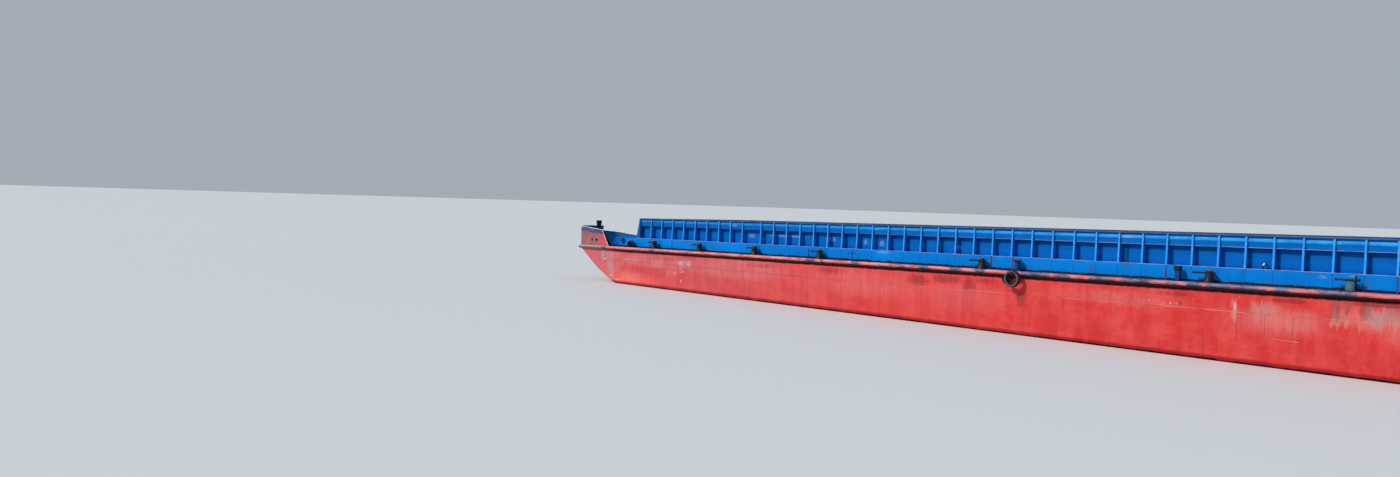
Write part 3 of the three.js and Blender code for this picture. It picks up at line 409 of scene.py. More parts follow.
def hull_paint():
    paint = Paint("hull_red")
    stern = paint.ease(paint.x, -2.0, -10.0)
    red = paint.mix(paint.ease(paint.x, 6.0, -3.0), (208, 54, 52), (214, 68, 68))
    red = paint.mix(stern, red, (196, 80, 86))
    broad = paint.spots(0.38, 0.66, (0.25, 0.25, 0.7), 4, 0.6)
    red = paint.mix(broad * 0.40, red, (196, 50, 50))
    mottled = paint.spots(0.42, 0.66, (1.5, 1.5, 2.2), 6, 0.75, (5, 0, 3), 0.3)
    red = paint.mix(mottled * 0.42, red, (228, 96, 88))
    dulled = paint.spots(0.48, 0.68, (2.4, 2.4, 1.3), 6, 0.75, (0, 7, 9), 0.2)
    red = paint.mix(dulled * 0.34, red, (184, 62, 64))
    rolled = paint.spots(0.44, 0.60, (2.6, 2.6, 0.4), 4, 0.7, (8, 1, 1))
    red = paint.mix(rolled * 0.22, red, (228, 96, 90))
    streaks = paint.spots(0.46, 0.70, (7, 7, 0.45), 5, 0.65, (0, 2, 0))
    red = paint.mix(streaks * 0.20, red, (176, 46, 50))
    upright = paint.spots(0.36, 0.64, (6, 6, 0.8), 5, 0.7, (9, 2, 4))
    wash = paint.ease(paint.patches(FADED), 0.0, 0.9) * (upright * 0.45 + 0.30)
    red = paint.mix(wash * 0.62, red, (206, 130, 132))
    glow = paint.ease(paint.x, -11.0, -14.5) * paint.ease(paint.z + broad * 0.2, 1.3, 0.8)
    red = paint.mix(glow * 0.70, red, (250, 108, 98))
    fine = paint.noise((22, 22, 16), 5, 0.75, (2, 6, 1), 0.3)
    chip_area = paint.spots(0.48, 0.62, (0.5, 0.5, 0.9), 3, 0.5, (6, 6, 6))
    chips = paint.ease(fine, 0.62, 0.67) * chip_area
    red = paint.mix(chips * 0.5, red, (236, 146, 134))
    torn = streaky(paint, (4, 4, 1))
    beige = paint.smears(BEIGE_SMEARS)
    red = paint.mix(beige * 0.75, red, (206, 138, 124))
    red = paint.mix(paint.smears(GREY_SMEARS) * 0.95, red, (170, 138, 138))
    red = paint.mix(paint.smears(DARK_SMEARS) * 0.75, red, (120, 80, 82))
    flaked = paint.ease(paint.patches(FLAKED) + fine * 6.0, 3.80, 4.30)
    flaked *= paint.ease(paint.patches(FLAKED), 0.0, 0.25)
    red = paint.mix(flaked * 0.58, red, (228, 178, 180))
    smudge_edge = streaky(paint, (8, 1, 5))
    smudged = paint.ease(paint.patches(SMUDGES) + smudge_edge * 2.4, 1.50, 2.20)
    smudged *= paint.ease(paint.patches(SMUDGES), 0.0, 0.2)
    red = paint.mix(smudged * 0.60, red, (118, 44, 50))
    # Painted shadow on the hull just beneath the fender: black, with a torn edge, fading out at the stern.
    aft_fade = paint.ease(paint.x, -16.4, -14.6)
    shade_under_fender = paint.ease(paint.z + torn * 0.12, 1.845, 1.885)
    shade_under_fender *= paint.more(paint.off(), SIDE_Y - 0.02)
    red = paint.mix(shade_under_fender * aft_fade * 0.97, red, (18, 10, 18))
    # Painted shade behind the tyre, with some grime.
    tyre_shade_and_grime = paint.ease(paint.patches(TYRE_SHADE_AND_GRIME) + torn * 0.6, 0.35, 0.75)
    red = paint.mix(tyre_shade_and_grime * 0.95, red, (18, 13, 18))
    # Just above the waterline, a dark red band and a black line: partly damp and slime, partly painted shade
    # where the bilge turns under.
    height = paint.above_line()
    ragged = paint.noise((3, 3, 3), 5, 0.7, (3, 3, 3)) * 0.08
    damp_and_bilge_shade = paint.ease(height + ragged, 0.185, 0.120)
    red = paint.mix(damp_and_bilge_shade * 0.80, red, (146, 16, 20))
    slime_and_bilge_shadow = paint.ease(height + ragged, 0.094, 0.072)
    red = paint.mix(slime_and_bilge_shadow, red, (16, 10, 12))
    fouled = paint.mix(paint.spots(0.4, 0.65, 3.0, 6, 0.7), (58, 44, 34), (84, 34, 30))
    red = paint.mix(paint.ease(height, -0.02, -0.10), red, fouled)
    colour = paint.mix(paint.in_hold(), red, hold_steel(paint))
    grain = paint.noise(60, 3, 0.5) * 0.2 + paint.noise((0.9, 0.9, 0.7), 3, 0.5, (2, 2, 2))
    paint.bump(grain, 0.016, 0.5)
    roughness = paint.spots(0.2, 0.9, 1.8, 4, 0.6, (0, 5, 5))
    return paint.finish(colour, roughness * 0.2 + 0.46, shine=0.08)


# Places on the blue coaming that are rubbed pale, and that are rusty, in the same columns.
BLUE_RUBS = [
    (-6.7, 2.66, 1.3, 0.05, 1.2), (-4.75, 2.62, 0.25, 0.12, 1.1), (-3.4, 2.58, 0.13, 0.14, 1.1),
    (-2.75, 2.56, 0.14, 0.14, 1.2), (-2.9, 2.98, 0.30, 0.05, 0.9), (-9.2, 2.95, 0.35, 0.05, 1.1),
    (-8.4, 2.62, 0.25, 0.10, 1.0), (-2.55, 2.30, 0.34, 0.05, 1.4), (5.0, 3.0, 0.22, 0.05, 1.3),
    (10.0, 2.31, 0.15, 0.04, 1.0), (0.0, 2.55, 0.18, 0.12, 0.9), (9.4, 2.26, 0.25, 0.08, 0.7),
]
BLUE_RUST = [
    (-13.30, 2.60, 0.05, 0.20, 1.4), (-13.55, 2.28, 0.05, 0.10, 1.1), (-10.05, 2.16, 0.06, 0.14, 1.3),
    (1.84, 2.14, 0.05, 0.16, 1.3), (1.22, 2.12, 0.05, 0.12, 1.1), (2.92, 2.06, 0.04, 0.08, 1.1),
    (4.10, 2.18, 0.07, 0.16, 1.3), (5.03, 2.30, 0.06, 0.08, 1.4), (5.22, 2.27, 0.05, 0.07, 1.2),
    (6.02, 2.10, 0.05, 0.12, 1.3), (7.16, 2.2, 0.04, 0.2, 0.9), (10.26, 2.12, 0.05, 0.16, 1.4),
    (9.15, 2.33, 0.05, 0.06, 1.2), (-4.37, 2.24, 0.05, 0.08, 1.1), (-2.0, 2.08, 0.05, 0.08, 1.2),
    (11.0, 2.2, 0.06, 0.08, 1.1), (7.35, 2.45, 0.05, 0.06, 1.0),
]


def coaming_paint():
    paint = Paint("coaming_blue")
    blue = paint.mix(paint.spots(0.36, 0.66, (0.5, 0.5, 1.2), 4, 0.6), (0, 116, 206), (0, 130, 222))
    wear = paint.spots(0.48, 0.74, (2.5, 2.5, 3), 5, 0.7, (3, 0, 6))
    blue = paint.mix(wear * 0.35, blue, (8, 138, 228))
    streaks = paint.spots(0.52, 0.74, (10, 10, 0.8), 5, 0.7, (0, 6, 0))
    blue = paint.mix(streaks * 0.30, blue, (0, 92, 170))
    # Painted shade in the recessed panels between the stays, deepest at their top under the stiffener.
    shaded_recess = paint.less(paint.off(), PLATE_FACE + 0.03) * paint.band(paint.z, LEDGE_Z, STIFFENER_Z, 0.004)
    blue = paint.mix(shaded_recess * 0.80, blue, (0, 92, 170))
    shade_under_stiffener = paint.ease(paint.z, 2.52, STIFFENER_Z) + wear * 0.4
    blue = paint.mix(shaded_recess * shade_under_stiffener * 0.45, blue, (0, 58, 124))
    # Painted shade on the girder's lower half, under its round; the girder is also darker towards the stern.
    upper = paint.more(paint.z, STIFFENER_Z + 0.01)
    girder_lower_shade = upper * paint.ease(paint.z, 3.01, 2.96)
    blue = paint.mix(girder_lower_shade * 0.62, blue, (0, 78, 152))
    blue = paint.mix(upper * paint.ease(paint.x, -3.0, -11.0) * 0.40, blue, (0, 84, 160))
    torn = paint.noise((11, 11, 12), 6, 0.75, (4, 4, 1), 0.4)
    # Painted highlight along the round of the girder's upper half, in patches, stronger towards the bow.
    crown_highlight = paint.band(paint.z, 2.985, 3.035, 0.030) * paint.more(paint.off(), PLATE_FACE + 0.09)
    patchy = paint.spots(0.30, 0.60, (1.8, 1.8, 3), 5, 0.65, (7, 3, 3))
    gloss = paint.ease(paint.x, -4.0, 2.0) * 0.30 + 0.25
    blue = paint.mix(crown_highlight * patchy * gloss, blue, (64, 172, 236))
    # A painted highlight on the outer faces of the stays' flanges, with grey-lilac scuffs where the paint is
    # rubbed.
    flange = paint.more(paint.off(), PLATE_FACE + 0.147) * paint.more(paint.z, LEDGE_Z + 0.001)
    flange *= paint.less(paint.x, HOLD_FORE)
    blue = paint.mix(flange * 0.75, blue, (40, 158, 238))
    scuffed = flange * paint.ease(torn, 0.52, 0.66)
    blue = paint.mix(scuffed * 0.55, blue, (138, 152, 196))
    # Painted shade on the coaming's aft corner, above the ledge.
    corner = paint.less(paint.x, COAMING_AFT + CORNER_LAP + 0.002) * paint.more(paint.z, LEDGE_Z + 0.001)
    blue = paint.mix(corner * 0.80, blue, (0, 62, 126))
    rubbed = paint.ease(paint.patches(BLUE_RUBS) + torn * 1.5, 1.15, 1.75)
    blue = paint.mix(rubbed * 0.50, blue, (120, 156, 220))
    rusted = paint.ease(paint.patches(BLUE_RUST) + torn * 2.0, 1.55, 1.85)
    rusted *= paint.ease(paint.patches(BLUE_RUST), 0.0, 0.3)
    blue = paint.mix(rusted * 0.62, blue, (84, 74, 88))
    chipped = paint.spots(0.685, 0.72, (16, 16, 20), 5, 0.75, (2, 9, 3))
    blue = paint.mix(chipped * 0.55, blue, (104, 100, 132))
    foot_edge = paint.z + paint.noise((5, 5, 12), 6, 0.75, (6, 2, 2)) * -0.14
    foot = paint.ease(foot_edge, DECK_Z - 0.014, DECK_Z - 0.034)
    blue = paint.mix(foot * 0.95, blue, (8, 10, 18))
    blue = inboard_shade(paint, blue)
    worn_inside = paint.ease(paint.z + torn * 0.8, 3.5, 3.25)
    inside = paint.mix(worn_inside, blue, hold_steel(paint))
    colour = paint.mix(paint.in_hold(COAMING_AFT), blue, inside)
    grain = paint.noise(70, 3, 0.5) * 0.2 + paint.noise((1.6, 1.6, 1.8), 3, 0.5, (2, 2, 2))
    paint.bump(grain, 0.012, 0.5)
    return paint.finish(colour, wear * 0.12 + 0.44, shine=0.05)


# The rusty place on the inboard bulwark, in the same columns.
INBOARD_RUST = [(-15.46, 2.43, 0.06, 0.07, 1.4)]


def inboard_shade(paint, blue):
    """Painted shadow of the side plate on the inboard bulwark next to it, and its rusty place."""
    torn = paint.noise((3, 3, 4), 6, 0.75, (1, 1, 4), 0.4)
    dark = paint.ease(paint.x + torn * 1.5, -14.70, -15.25)
    dark *= paint.less(paint.x, AFT_LEDGE - 0.2)
    blue = paint.mix(dark * 0.90, blue, (4, 36, 80))
    rusty = paint.ease(paint.patches(INBOARD_RUST) + torn * 0.8, 0.65, 0.95)
    return paint.mix(rusty * 0.85, blue, (88, 44, 52))


def edge_paint():
    """Paint rubbed to a grey-lilac along the ledge's edge and the stiffener's lip."""
    paint = Paint("rubbed_edge")
    worn = paint.spots(0.34, 0.54, (2.2, 6, 6), 6, 0.72, (3, 1, 1))
    colour = paint.mix(worn, (30, 122, 200), (136, 148, 184))
    rusty = paint.spots(0.57, 0.66, (7, 7, 7), 5, 0.7, (1, 7, 2))
    colour = paint.mix(rusty * 0.45, colour, (136, 112, 128))
    lip = paint.more(paint.z, STIFFENER_Z - 0.02) * paint.ease(paint.x, 7.0, -6.0)
    colour = paint.mix(lip * 0.85, colour, (6, 62, 124))
    paint.bump(paint.noise(50, 4, 0.7), 0.002, 0.6)
    return paint.finish(colour, 0.45)


def cap_paint():
    """The bead along the bulwark's top, rubbed nearly white."""
    paint = Paint("cap_rubbed")
    worn = paint.spots(0.34, 0.50, (2.5, 2.5, 6), 6, 0.72, (3, 5, 1))
    colour = paint.mix(worn, (120, 134, 176), (228, 218, 228))
    rusty = paint.spots(0.61, 0.68, (5, 5, 7), 5, 0.7, (1, 7, 2))
    colour = paint.mix(rusty * 0.6, colour, (140, 104, 108))
    collar = paint.band(paint.x, EYE_X - 0.2, EYE_X + 0.2, 0.01) * paint.less(paint.z, EYE_Z + 0.14)
    colour = paint.mix(collar * 0.85, colour, (58, 58, 72))
    paint.bump(paint.noise(50, 4, 0.7), 0.002, 0.6)
    return paint.finish(colour, 0.5)


def seam_paint(name, ground, line, rust_share, aft_line=None):
    """A weld bead: the paint around it, a line along it in places, and rust."""
    paint = Paint(name)
    shown = paint.spots(0.40, 0.56, (0.9, 0.9, 3.0), 5, 0.7, (2, 5, 8))
    if aft_line:
        line = paint.mix(paint.ease(paint.x, -2.0, -5.0), line, aft_line)
    colour = paint.mix(shown, ground, line)
    rusty = paint.spots(0.64 - rust_share, 0.70 - rust_share, (3, 3, 6), 5, 0.7, (6, 6, 0))
    colour = paint.mix(rusty * 0.8, colour, (92, 52, 50))
    paint.bump(paint.noise((70, 70, 70), 3, 0.6), 0.003, 0.8)
    return paint.finish(colour, 0.5)


def rail_paint():
    paint = Paint("rail_worn")
    base = paint.mix(paint.spots(0.40, 0.62, (1.2, 4, 4), 5, 0.7), (112, 106, 124), (68, 68, 88))
    rusty = paint.spots(0.54, 0.66, (5, 8, 8), 5, 0.7, (4, 0, 0))
    base = paint.mix(rusty * 0.65, base, (100, 68, 70))
    towards_bow = paint.ease(paint.x, 2.0, 9.0) * 0.16
    blue = paint.ease(paint.noise((0.7, 2, 2), 4, 0.6, (9, 3, 1)) + towards_bow, 0.48, 0.60)
    base = paint.mix(blue * 0.50, base, (50, 84, 128))
    side_face = paint.mix(rusty, (30, 82, 134), (84, 72, 86))
    base = paint.mix(paint.ease(paint.z, RAIL_TOP - 0.020, RAIL_TOP - 0.012), side_face, base)
    paint.bump(paint.noise(30, 4, 0.7), 0.004, 0.6)
    return paint.finish(base, 0.5, shine=0.12)


# Where the fender's paint is scraped to dark steel: x, half length, strength.
FENDER_BARE = [
    (-16.0, 0.5, 0.7), (-5.1, 0.30, 1.3), (-4.6, 0.22, 1.0), (-3.3, 0.32, 1.0), (-1.5, 0.42, 1.0),
    (-0.7, 0.40, 1.2), (0.25, 0.40, 1.2), (1.15, 0.28, 1.4), (2.8, 0.9, 1.1), (3.5, 0.4, 1.0),
    (4.6, 0.50, 1.1), (5.55, 0.55, 1.4), (6.9, 0.30, 0.9), (7.35, 0.42, 1.2), (8.1, 0.50, 1.1),
    (8.75, 0.30, 1.1), (9.85, 0.50, 1.4), (11.3, 0.5, 1.0), (-8.2, 0.4, 0.7), (-10.9, 0.5, 0.6),
    (-13.0, 0.4, 0.6),
]


def fender_paint():
    paint = Paint("fender_red")
    aft_fade = paint.ease(paint.x, -16.6, -15.4)
    pink = paint.mix(paint.spots(0.40, 0.60, (2.4, 5, 5), 5, 0.65), (212, 104, 102), (196, 62, 62))
    # A painted highlight along the pipe's top, on the paint and on bare steel.
    top = paint.ease(paint.z, FENDER_Z + 0.008, FENDER_Z + 0.045)
    patchy = paint.spots(0.36, 0.56, (3.2, 6, 6), 5, 0.7, (9, 9, 9))
    lit_pink = paint.mix(paint.ease(paint.x, 0.0, 6.0), (210, 156, 166), (150, 140, 156))
    pink = paint.mix(top * patchy * 0.75, pink, lit_pink)
    # At the stern the pipe is dull, with the painted highlight pale along its top.
    stern_tone = paint.mix(top, (116, 88, 94), (176, 152, 156))
    pink = paint.mix(1 - aft_fade, pink, stern_tone)
    bare = 0.0
    for x, reach, strength in FENDER_BARE:
        along = abs(paint.x - x) / reach
        near = paint.either(1 - along, 0.0) * strength
        bare = paint.either(bare, near)
    torn = paint.noise((5.0, 7, 7), 6, 0.75, (1, 4, 6), 0.4)
    broken = paint.noise((2.6, 9, 9), 5, 0.7, (3, 8, 6))
    towards_bow = paint.ease(paint.x, 2.0, 7.0) * 0.022
    scraped = torn * 0.47 + broken * 0.53
    scraped = bare * 0.15 + towards_bow + scraped
    scraped = paint.ease(scraped, 0.555, 0.605)
    steel = paint.mix(paint.ease(torn, 0.35, 0.60), (26, 33, 54), (66, 74, 104))
    colour = paint.mix(scraped * 0.96, pink, steel)
    lit_steel = scraped * top * paint.ease(torn, 0.38, 0.58)
    colour = paint.mix(lit_steel * 0.70, colour, (146, 124, 146))
    # Painted shade on the pipe's underside: black below its middle, with a torn edge, none at the stern.
    underside_shade_edge = paint.z + torn * 0.05
    under = paint.ease(underside_shade_edge, FENDER_Z + 0.022, FENDER_Z + 0.002) * aft_fade
    colour = paint.mix(under * 0.95, colour, (14, 10, 17))
    paint.bump(torn + paint.noise(40, 3, 0.6) * 0.3, 0.008, 0.6)
    return paint.finish(colour, scraped * -0.08 + 0.50, shine=0.18)


def deck_colour(paint):
    """Brown-grey deck paint under black dust, with rust."""
    base = paint.mix(paint.spots(0.38, 0.62, 1.4, 5, 0.65), (92, 78, 74), (66, 60, 60))
    rusty = paint.spots(0.55, 0.68, 4.5, 6, 0.7, (2, 2, 0))
    base = paint.mix(rusty * 0.7, base, (112, 66, 44))
    dusty = paint.spots(0.46, 0.62, 2.6, 6, 0.75, (5, 5, 5))
    return paint.mix(dusty * 0.8, base, (38, 38, 41))


def deck_paint():
    paint = Paint("deck_coating")
    paint.bump(paint.noise(22, 5, 0.7), 0.006, 0.7)
    return paint.finish(deck_colour(paint), 0.75)


def worn_black(paint):
    rusty = paint.spots(0.58, 0.70, 9, 6, 0.72, (1, 5, 2))
    black = paint.mix(paint.spots(0.4, 0.65, 3, 4, 0.6), (12, 13, 18), (32, 34, 42))
    return paint.mix(rusty * 0.5, black, (92, 66, 56))


def fitting_paint():
    paint = Paint("fitting_black")
    paint.bump(paint.noise(35, 4, 0.65), 0.004, 0.6)
    return paint.finish(worn_black(paint), 0.5)


BLUE_POSTS = [(2.11, 0.16), (6.37, 0.16)]
GREY_POST = (9.99, 0.105)


def side_deck_paint():
    """The side deck, and the posts that stand on it: black, blue or grey-green by place."""
    paint = Paint("side_deck")
    posts = worn_black(paint)
    blue = 0.0
    for x, reach in BLUE_POSTS:
        blue = paint.either(blue, paint.less(abs(paint.x - x), reach))
    posts = paint.mix(blue * paint.less(paint.z, DECK_Z + 0.245), posts, (6, 56, 112))
    grey = paint.less(abs(paint.x - GREY_POST[0]), GREY_POST[1])
    posts = paint.mix(grey * paint.less(paint.z, DECK_Z + 0.21), posts, (72, 104, 124))
    colour = paint.mix(paint.more(paint.z, DECK_Z + 0.004), deck_colour(paint), posts)
    paint.bump(paint.noise(30, 4, 0.65), 0.004, 0.6)
    return paint.finish(colour, 0.6)


def cap_iron_paint():
    """Black bollard heads, rusty where the lines rub."""
    paint = Paint("bollard_heads")
    rusty = paint.spots(0.42, 0.58, 12, 6, 0.72, (1, 5, 2))
    colour = paint.mix(rusty * 0.8, (20, 20, 26), (122, 92, 80))
    paint.bump(paint.noise(40, 4, 0.65), 0.003, 0.6)
    return paint.finish(colour, 0.5)


def bulwark_outside(paint):
    """1 on the bulwark's outer plating, 0 on its inner side and brackets."""
    at_bow = paint.more(paint.x, 0.0)
    along = paint.either((paint.x - BOW_START) * 0.8, 0.0)
    reach = paint.calc("SQRT", along * along + paint.y * paint.y)
    outward = paint.nx * along + paint.ny * paint.y
    bow = paint.more(outward, reach * 0.5)
    across = paint.off() - (SIDE_Y - STERN_CORNER)
    aft = STERN_END + STERN_CORNER - paint.x
    corner = paint.calc("SQRT", across * across + aft * aft)
    round_part = paint.more(across, 0.0) * paint.more(aft, 0.0)
    edge = paint.either(paint.more(across, STERN_CORNER - 0.006), paint.more(aft, STERN_CORNER - 0.006))
    stern = paint.either(edge, round_part * paint.more(corner, STERN_CORNER - 0.008))
    return paint.blend(at_bow, stern, bow)


STRIP_DEPTH = 0.155


def bulwark_paint():
    """Red outside with a dull blue strip along the top, blue inside."""
    paint = Paint("bulwark")
    red = paint.mix(paint.spots(0.36, 0.66, (1.2, 1.2, 1.8), 5, 0.65), (212, 84, 82), (196, 70, 70))
    worn = paint.spots(0.36, 0.62, (2.2, 2.2, 3.0), 6, 0.72, (3, 7, 1))
    towards_stern = paint.ease(paint.x, -16.10, -16.95)
    red = paint.mix((worn * 0.45 + 0.5) * towards_stern, red, (124, 96, 102))
    scuffed = paint.spots(0.52, 0.66, (7, 7, 2), 6, 0.72, (2, 2, 1))
    red = paint.mix(scuffed * towards_stern * 0.5, red, (142, 124, 120))
    blue = paint.mix(paint.spots(0.35, 0.65, 2.0, 4, 0.6), (0, 78, 168), (0, 100, 196))
    dull = paint.mix(paint.spots(0.38, 0.62, (3, 3, 5), 5, 0.7), (40, 58, 94), (82, 90, 118))
    rusty = paint.spots(0.58, 0.68, 6, 6, 0.72, (8, 1, 1))
    rise = (HOLD_AFT - paint.x) * (BULWARK_CLIMB / BULWARK_RUN)
    strip_edge = paint.z + paint.noise((4, 4, 4), 5, 0.7, (5, 1, 1)) * 0.05
    strip = paint.more(strip_edge, rise + (DECK_Z + BULWARK_LOW - STRIP_DEPTH))
    at_stern = paint.less(paint.x, HOLD_AFT)
    outside = paint.mix(strip * at_stern, red, dull)
    colour = paint.mix(bulwark_outside(paint), blue, outside)
    colour = paint.mix(rusty * 0.40, colour, (124, 88, 84))
    paint.bump(paint.noise(30, 4, 0.65), 0.004, 0.5)
    return paint.finish(colour, 0.5, shine=0.15)


def rubber():
    paint = Paint("tyre_rubber")
    across = paint.x - TYRE["x"]
    up = paint.z - TYRE["z"]
    radius = paint.calc("SQRT", across * across + up * up)
    dusty = paint.spots(0.40, 0.64, 9, 5, 0.7)
    colour = paint.mix(dusty, (20, 20, 24), (48, 46, 50))
    # A painted highlight on the round of the tyre's outer sidewall, in scuffed patches.
    ring = paint.band(radius, 0.178, 0.196, 0.012) * paint.more(paint.off(), TYRE["back"] + 0.12)
    scuffed = paint.spots(0.36, 0.58, (6, 6, 6), 4, 0.6, (1, 3, 5))
    colour = paint.mix(ring * scuffed * 0.7, colour, (118, 108, 116))
    paint.bump(paint.noise(60, 4, 0.6), 0.003, 0.6)
    return paint.finish(colour, 0.72)


def rope_fibre():
    paint = Paint("rope_fibre")
    colour = paint.mix(paint.spots(0.4, 0.6, 30, 4, 0.6), (128, 112, 92), (84, 74, 64))
    paint.bump(paint.noise((160, 160, 60), 2, 0.5), 0.002, 0.8)
    return paint.finish(colour, 0.85)


def pale_paint():
    paint = Paint("pale_pipe")
    # White on the upper after side of the bend, where the light falls: a painted highlight. The dark of the
    # rest of the pipe is painted shade.
    white = paint.ease(paint.z, 2.442, 2.452) * paint.less(paint.x, GOOSENECK_X + 0.034)
    colour = paint.mix(white, (12, 16, 30), (226, 230, 234))
    rusty = paint.spots(0.58, 0.70, 20, 5, 0.7)
    colour = paint.mix(rusty * 0.4, colour, (128, 100, 84))
    paint.bump(paint.noise(90, 4, 0.6), 0.001, 0.5)
    return paint.finish(colour, 0.42)


def dirt():
    paint = Paint("deck_dirt")
    colour = paint.mix(paint.spots(0.38, 0.62, 30, 5, 0.7), (18, 20, 28), (52, 50, 56))
    paint.bump(paint.noise(120, 4, 0.7), 0.003, 0.8)
    return paint.finish(colour, 0.8)


def rusty_steel():
    paint = Paint("steel_rusty")
    rusty = paint.spots(0.42, 0.62, 6, 6, 0.72)
    colour = paint.mix(rusty, (84, 66, 58), (122, 70, 44))
    paint.bump(paint.noise(45, 5, 0.7), 0.004, 0.7)
    return paint.finish(colour, 0.65, 0.1)


# Mesh building

SIDES = {"starboard": -1, "port": 1}


def steps(start, end, count):
    return [start + (end - start) * i / (count - 1) for i in range(count)]


def around(count):
    """Evenly spaced turns of a full circle."""
    return [2 * math.pi * k / count for k in range(count)]


def hoop(x, y, z, radius, turns):
    """Points on a circle that faces sideways."""
    return [(x + radius * math.cos(turn), y, z + radius * math.sin(turn)) for turn in turns]


def square_to(path, i, across):
    """Two directions square to a path at its point i. across is one that the path never runs along."""
    ahead = (path[min(i + 1, len(path) - 1)] - path[max(i - 1, 0)]).normalized()
    side = ahead.cross(across).normalized()
    return side, side.cross(ahead)


def between(table, value):
    """Straight-line reading of a table of (place, reading) rows."""
    for (a, low), (b, high) in zip(table, table[1:]):
        if value <= b:
            return low + (high - low) * (value - a) / (b - a)
    return table[-1][1]


def draws(chance, ranges, count):
    """Rows of random numbers, one within each of the ranges."""
    return [tuple(chance.uniform(*limits) for limits in ranges) for _ in range(count)]


def wavy(chance, start, end, count, low):
    """Places along a line and a small wander off it."""
    return [(place, chance.uniform(-low, low)) for place in steps(start, end, count)]


class Build:
    """Points and faces gathered for one piece."""

    def __init__(self):
        self.points = []
        self.faces = []

    def grid(self, rows, closed=False, capped=False):
        """Quads between rows of points. closed joins each row's ends, capped fills the outermost rows."""
        start = len(self.points)
        width = len(rows[0])
        for row in rows:
            self.points.extend(tuple(point) for point in row)
        for r in range(len(rows) - 1):
            for c in range(width if closed else width - 1):
                a = start + r * width + c
                b = start + r * width + (c + 1) % width
                self.faces.append((a, b, b + width, a + width))
        if capped:
            last = start + (len(rows) - 1) * width
            self.faces.append(tuple(range(start + width - 1, start - 1, -1)))
            self.faces.append(tuple(range(last, last + width)))

    def tube(self, path, radius, sides=8, across=(0, 0, 1)):
        """A capped tube along a path. radius is a number, or a list with one for each point."""
        rows = []
        across = Vector(across)
        path = [Vector(point) for point in path]
        for i, point in enumerate(path):
            side, up = square_to(path, i, across)
            reach = radius[i] if isinstance(radius, list) else radius
            rows.append([
                point + (side * math.cos(turn) + up * math.sin(turn)) * reach for turn in around(sides)
            ])
        self.grid(rows, closed=True, capped=True)

    def lathe(self, profile, centre, axis="Z", sides=32):
        """A turned piece from (radius, height) points about an axis through centre."""
        centre = Vector(centre)
        rows = []
        for radius, height in profile:
            row = []
            for turn in around(sides):
                a, b = radius * math.cos(turn), radius * math.sin(turn)
                local = {"Z": (a, b, height), "Y": (a, height, -b), "X": (height, a, b)}[axis]
                row.append(centre + Vector(local))
            rows.append(row)
        self.grid(rows, closed=True, capped=True)

    def slab(self, low, high, bevel=0.002):
        """A box with bevelled edges."""
        (x0, y0, z0), (x1, y1, z1) = low, high

        def ring(z, inset):
            a, b, c, d = x0 + inset, x1 - inset, y0 + inset, y1 - inset
            return [
                (a + bevel, c, z), (b - bevel, c, z), (b, c + bevel, z), (b, d - bevel, z),
                (b - bevel, d, z), (a + bevel, d, z), (a, d - bevel, z), (a, c + bevel, z),
            ]

        self.grid([ring(z0, bevel), ring(z0 + bevel, 0), ring(z1 - bevel, 0), ring(z1, bevel)], True, True)

    def piece(self, name, material, slot, body="hull", sharp=40):
        mesh = bpy.data.meshes.new(name)
        mesh.from_pydata(self.points, [], self.faces)
        mesh.materials.append(material)
        mesh.polygons.foreach_set("use_smooth", [True] * len(mesh.polygons))
        mesh.set_sharp_from_angle(angle=math.radians(sharp))
        piece = bpy.data.objects.new(name, mesh)
        bpy.context.collection.objects.link(piece)
        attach(piece, body)
        return piece


# Plating of the coaming: a skin a few millimetres proud in each bay, pushed out of true as on the real one.


def wall_point(wall, along, off, z):
    """A point on a coaming wall from its place along it and its distance off the hold's centre lines."""
    if wall in SIDES:
        return (along, SIDES[wall] * off, z)
    if wall == "aft":
        return (COAMING_AFT + HOLD_HALF - off, along, z)
    return (HOLD_FORE - HOLD_HALF + off, along, z)


# Limits of a panel's smaller dents: place along it and up it, size, and depth as a share of the swell.
PANEL_DENTS = [(0.2, 0.8), (0.2, 0.8), (0.12, 0.3), (-0.4, 0.5)]


def bay_skin(build, wall, start, end, low, high, face, swell, chance):
    """One panel. face(z) is the plate's distance off; swell is how far its middle may be pushed out."""
    places = [0, 0.02, 0.07] + steps(0.14, 0.86, 9) + [0.93, 0.98, 1]
    heights = [0, 0.03, 0.09] + steps(0.18, 0.82, 7) + [0.91, 0.97, 1]
    push = swell * chance.uniform(0.35, 1.0)
    lean = chance.uniform(-0.8, 0.8)
    dents = draws(chance, PANEL_DENTS, 3)
    rows = []
    for v in heights:
        row = []
        for u in places:
            edge = min(u, 1 - u, 0.05) / 0.05 * min(v, 1 - v, 0.06) / 0.06
            bell = math.sin(math.pi * u) ** 0.8 * math.sin(math.pi * v) ** 0.8
            out = push * bell * (1 + lean * (u - 0.5))
            for du, dv, size, depth in dents:
                out += depth * swell * bell * math.exp(-((u - du) ** 2 + (v - dv) ** 2) / size ** 2)
            z = low + (high - low) * v
            off = face(z) + 0.0004 + 0.0022 * edge + max(out, 0)
            row.append(wall_point(wall, start + (end - start) * u, off, z))
        rows.append(row)
    build.grid(rows)


def plate_face(z):
    return PLATE_FACE


def girder_face(z):
    return PLATE_FACE + between(GIRDER, GIRDER_TOP - z)


def girder_crown(z):
    """The girder's face with the fuller round of its upper half."""
    return girder_face(z) + 0.010 * math.exp(-((z - 2.995) / 0.045) ** 2)


# How far the panels and the girder may swell, and the gap left round a panel.
PANEL_SWELL = 0.011
GIRDER_SWELL = 0.007
PANEL_GAP = 0.001
WALL_STAYS = {"starboard": SIDE_STAYS, "port": SIDE_STAYS, "aft": END_STAYS, "fore": END_STAYS}


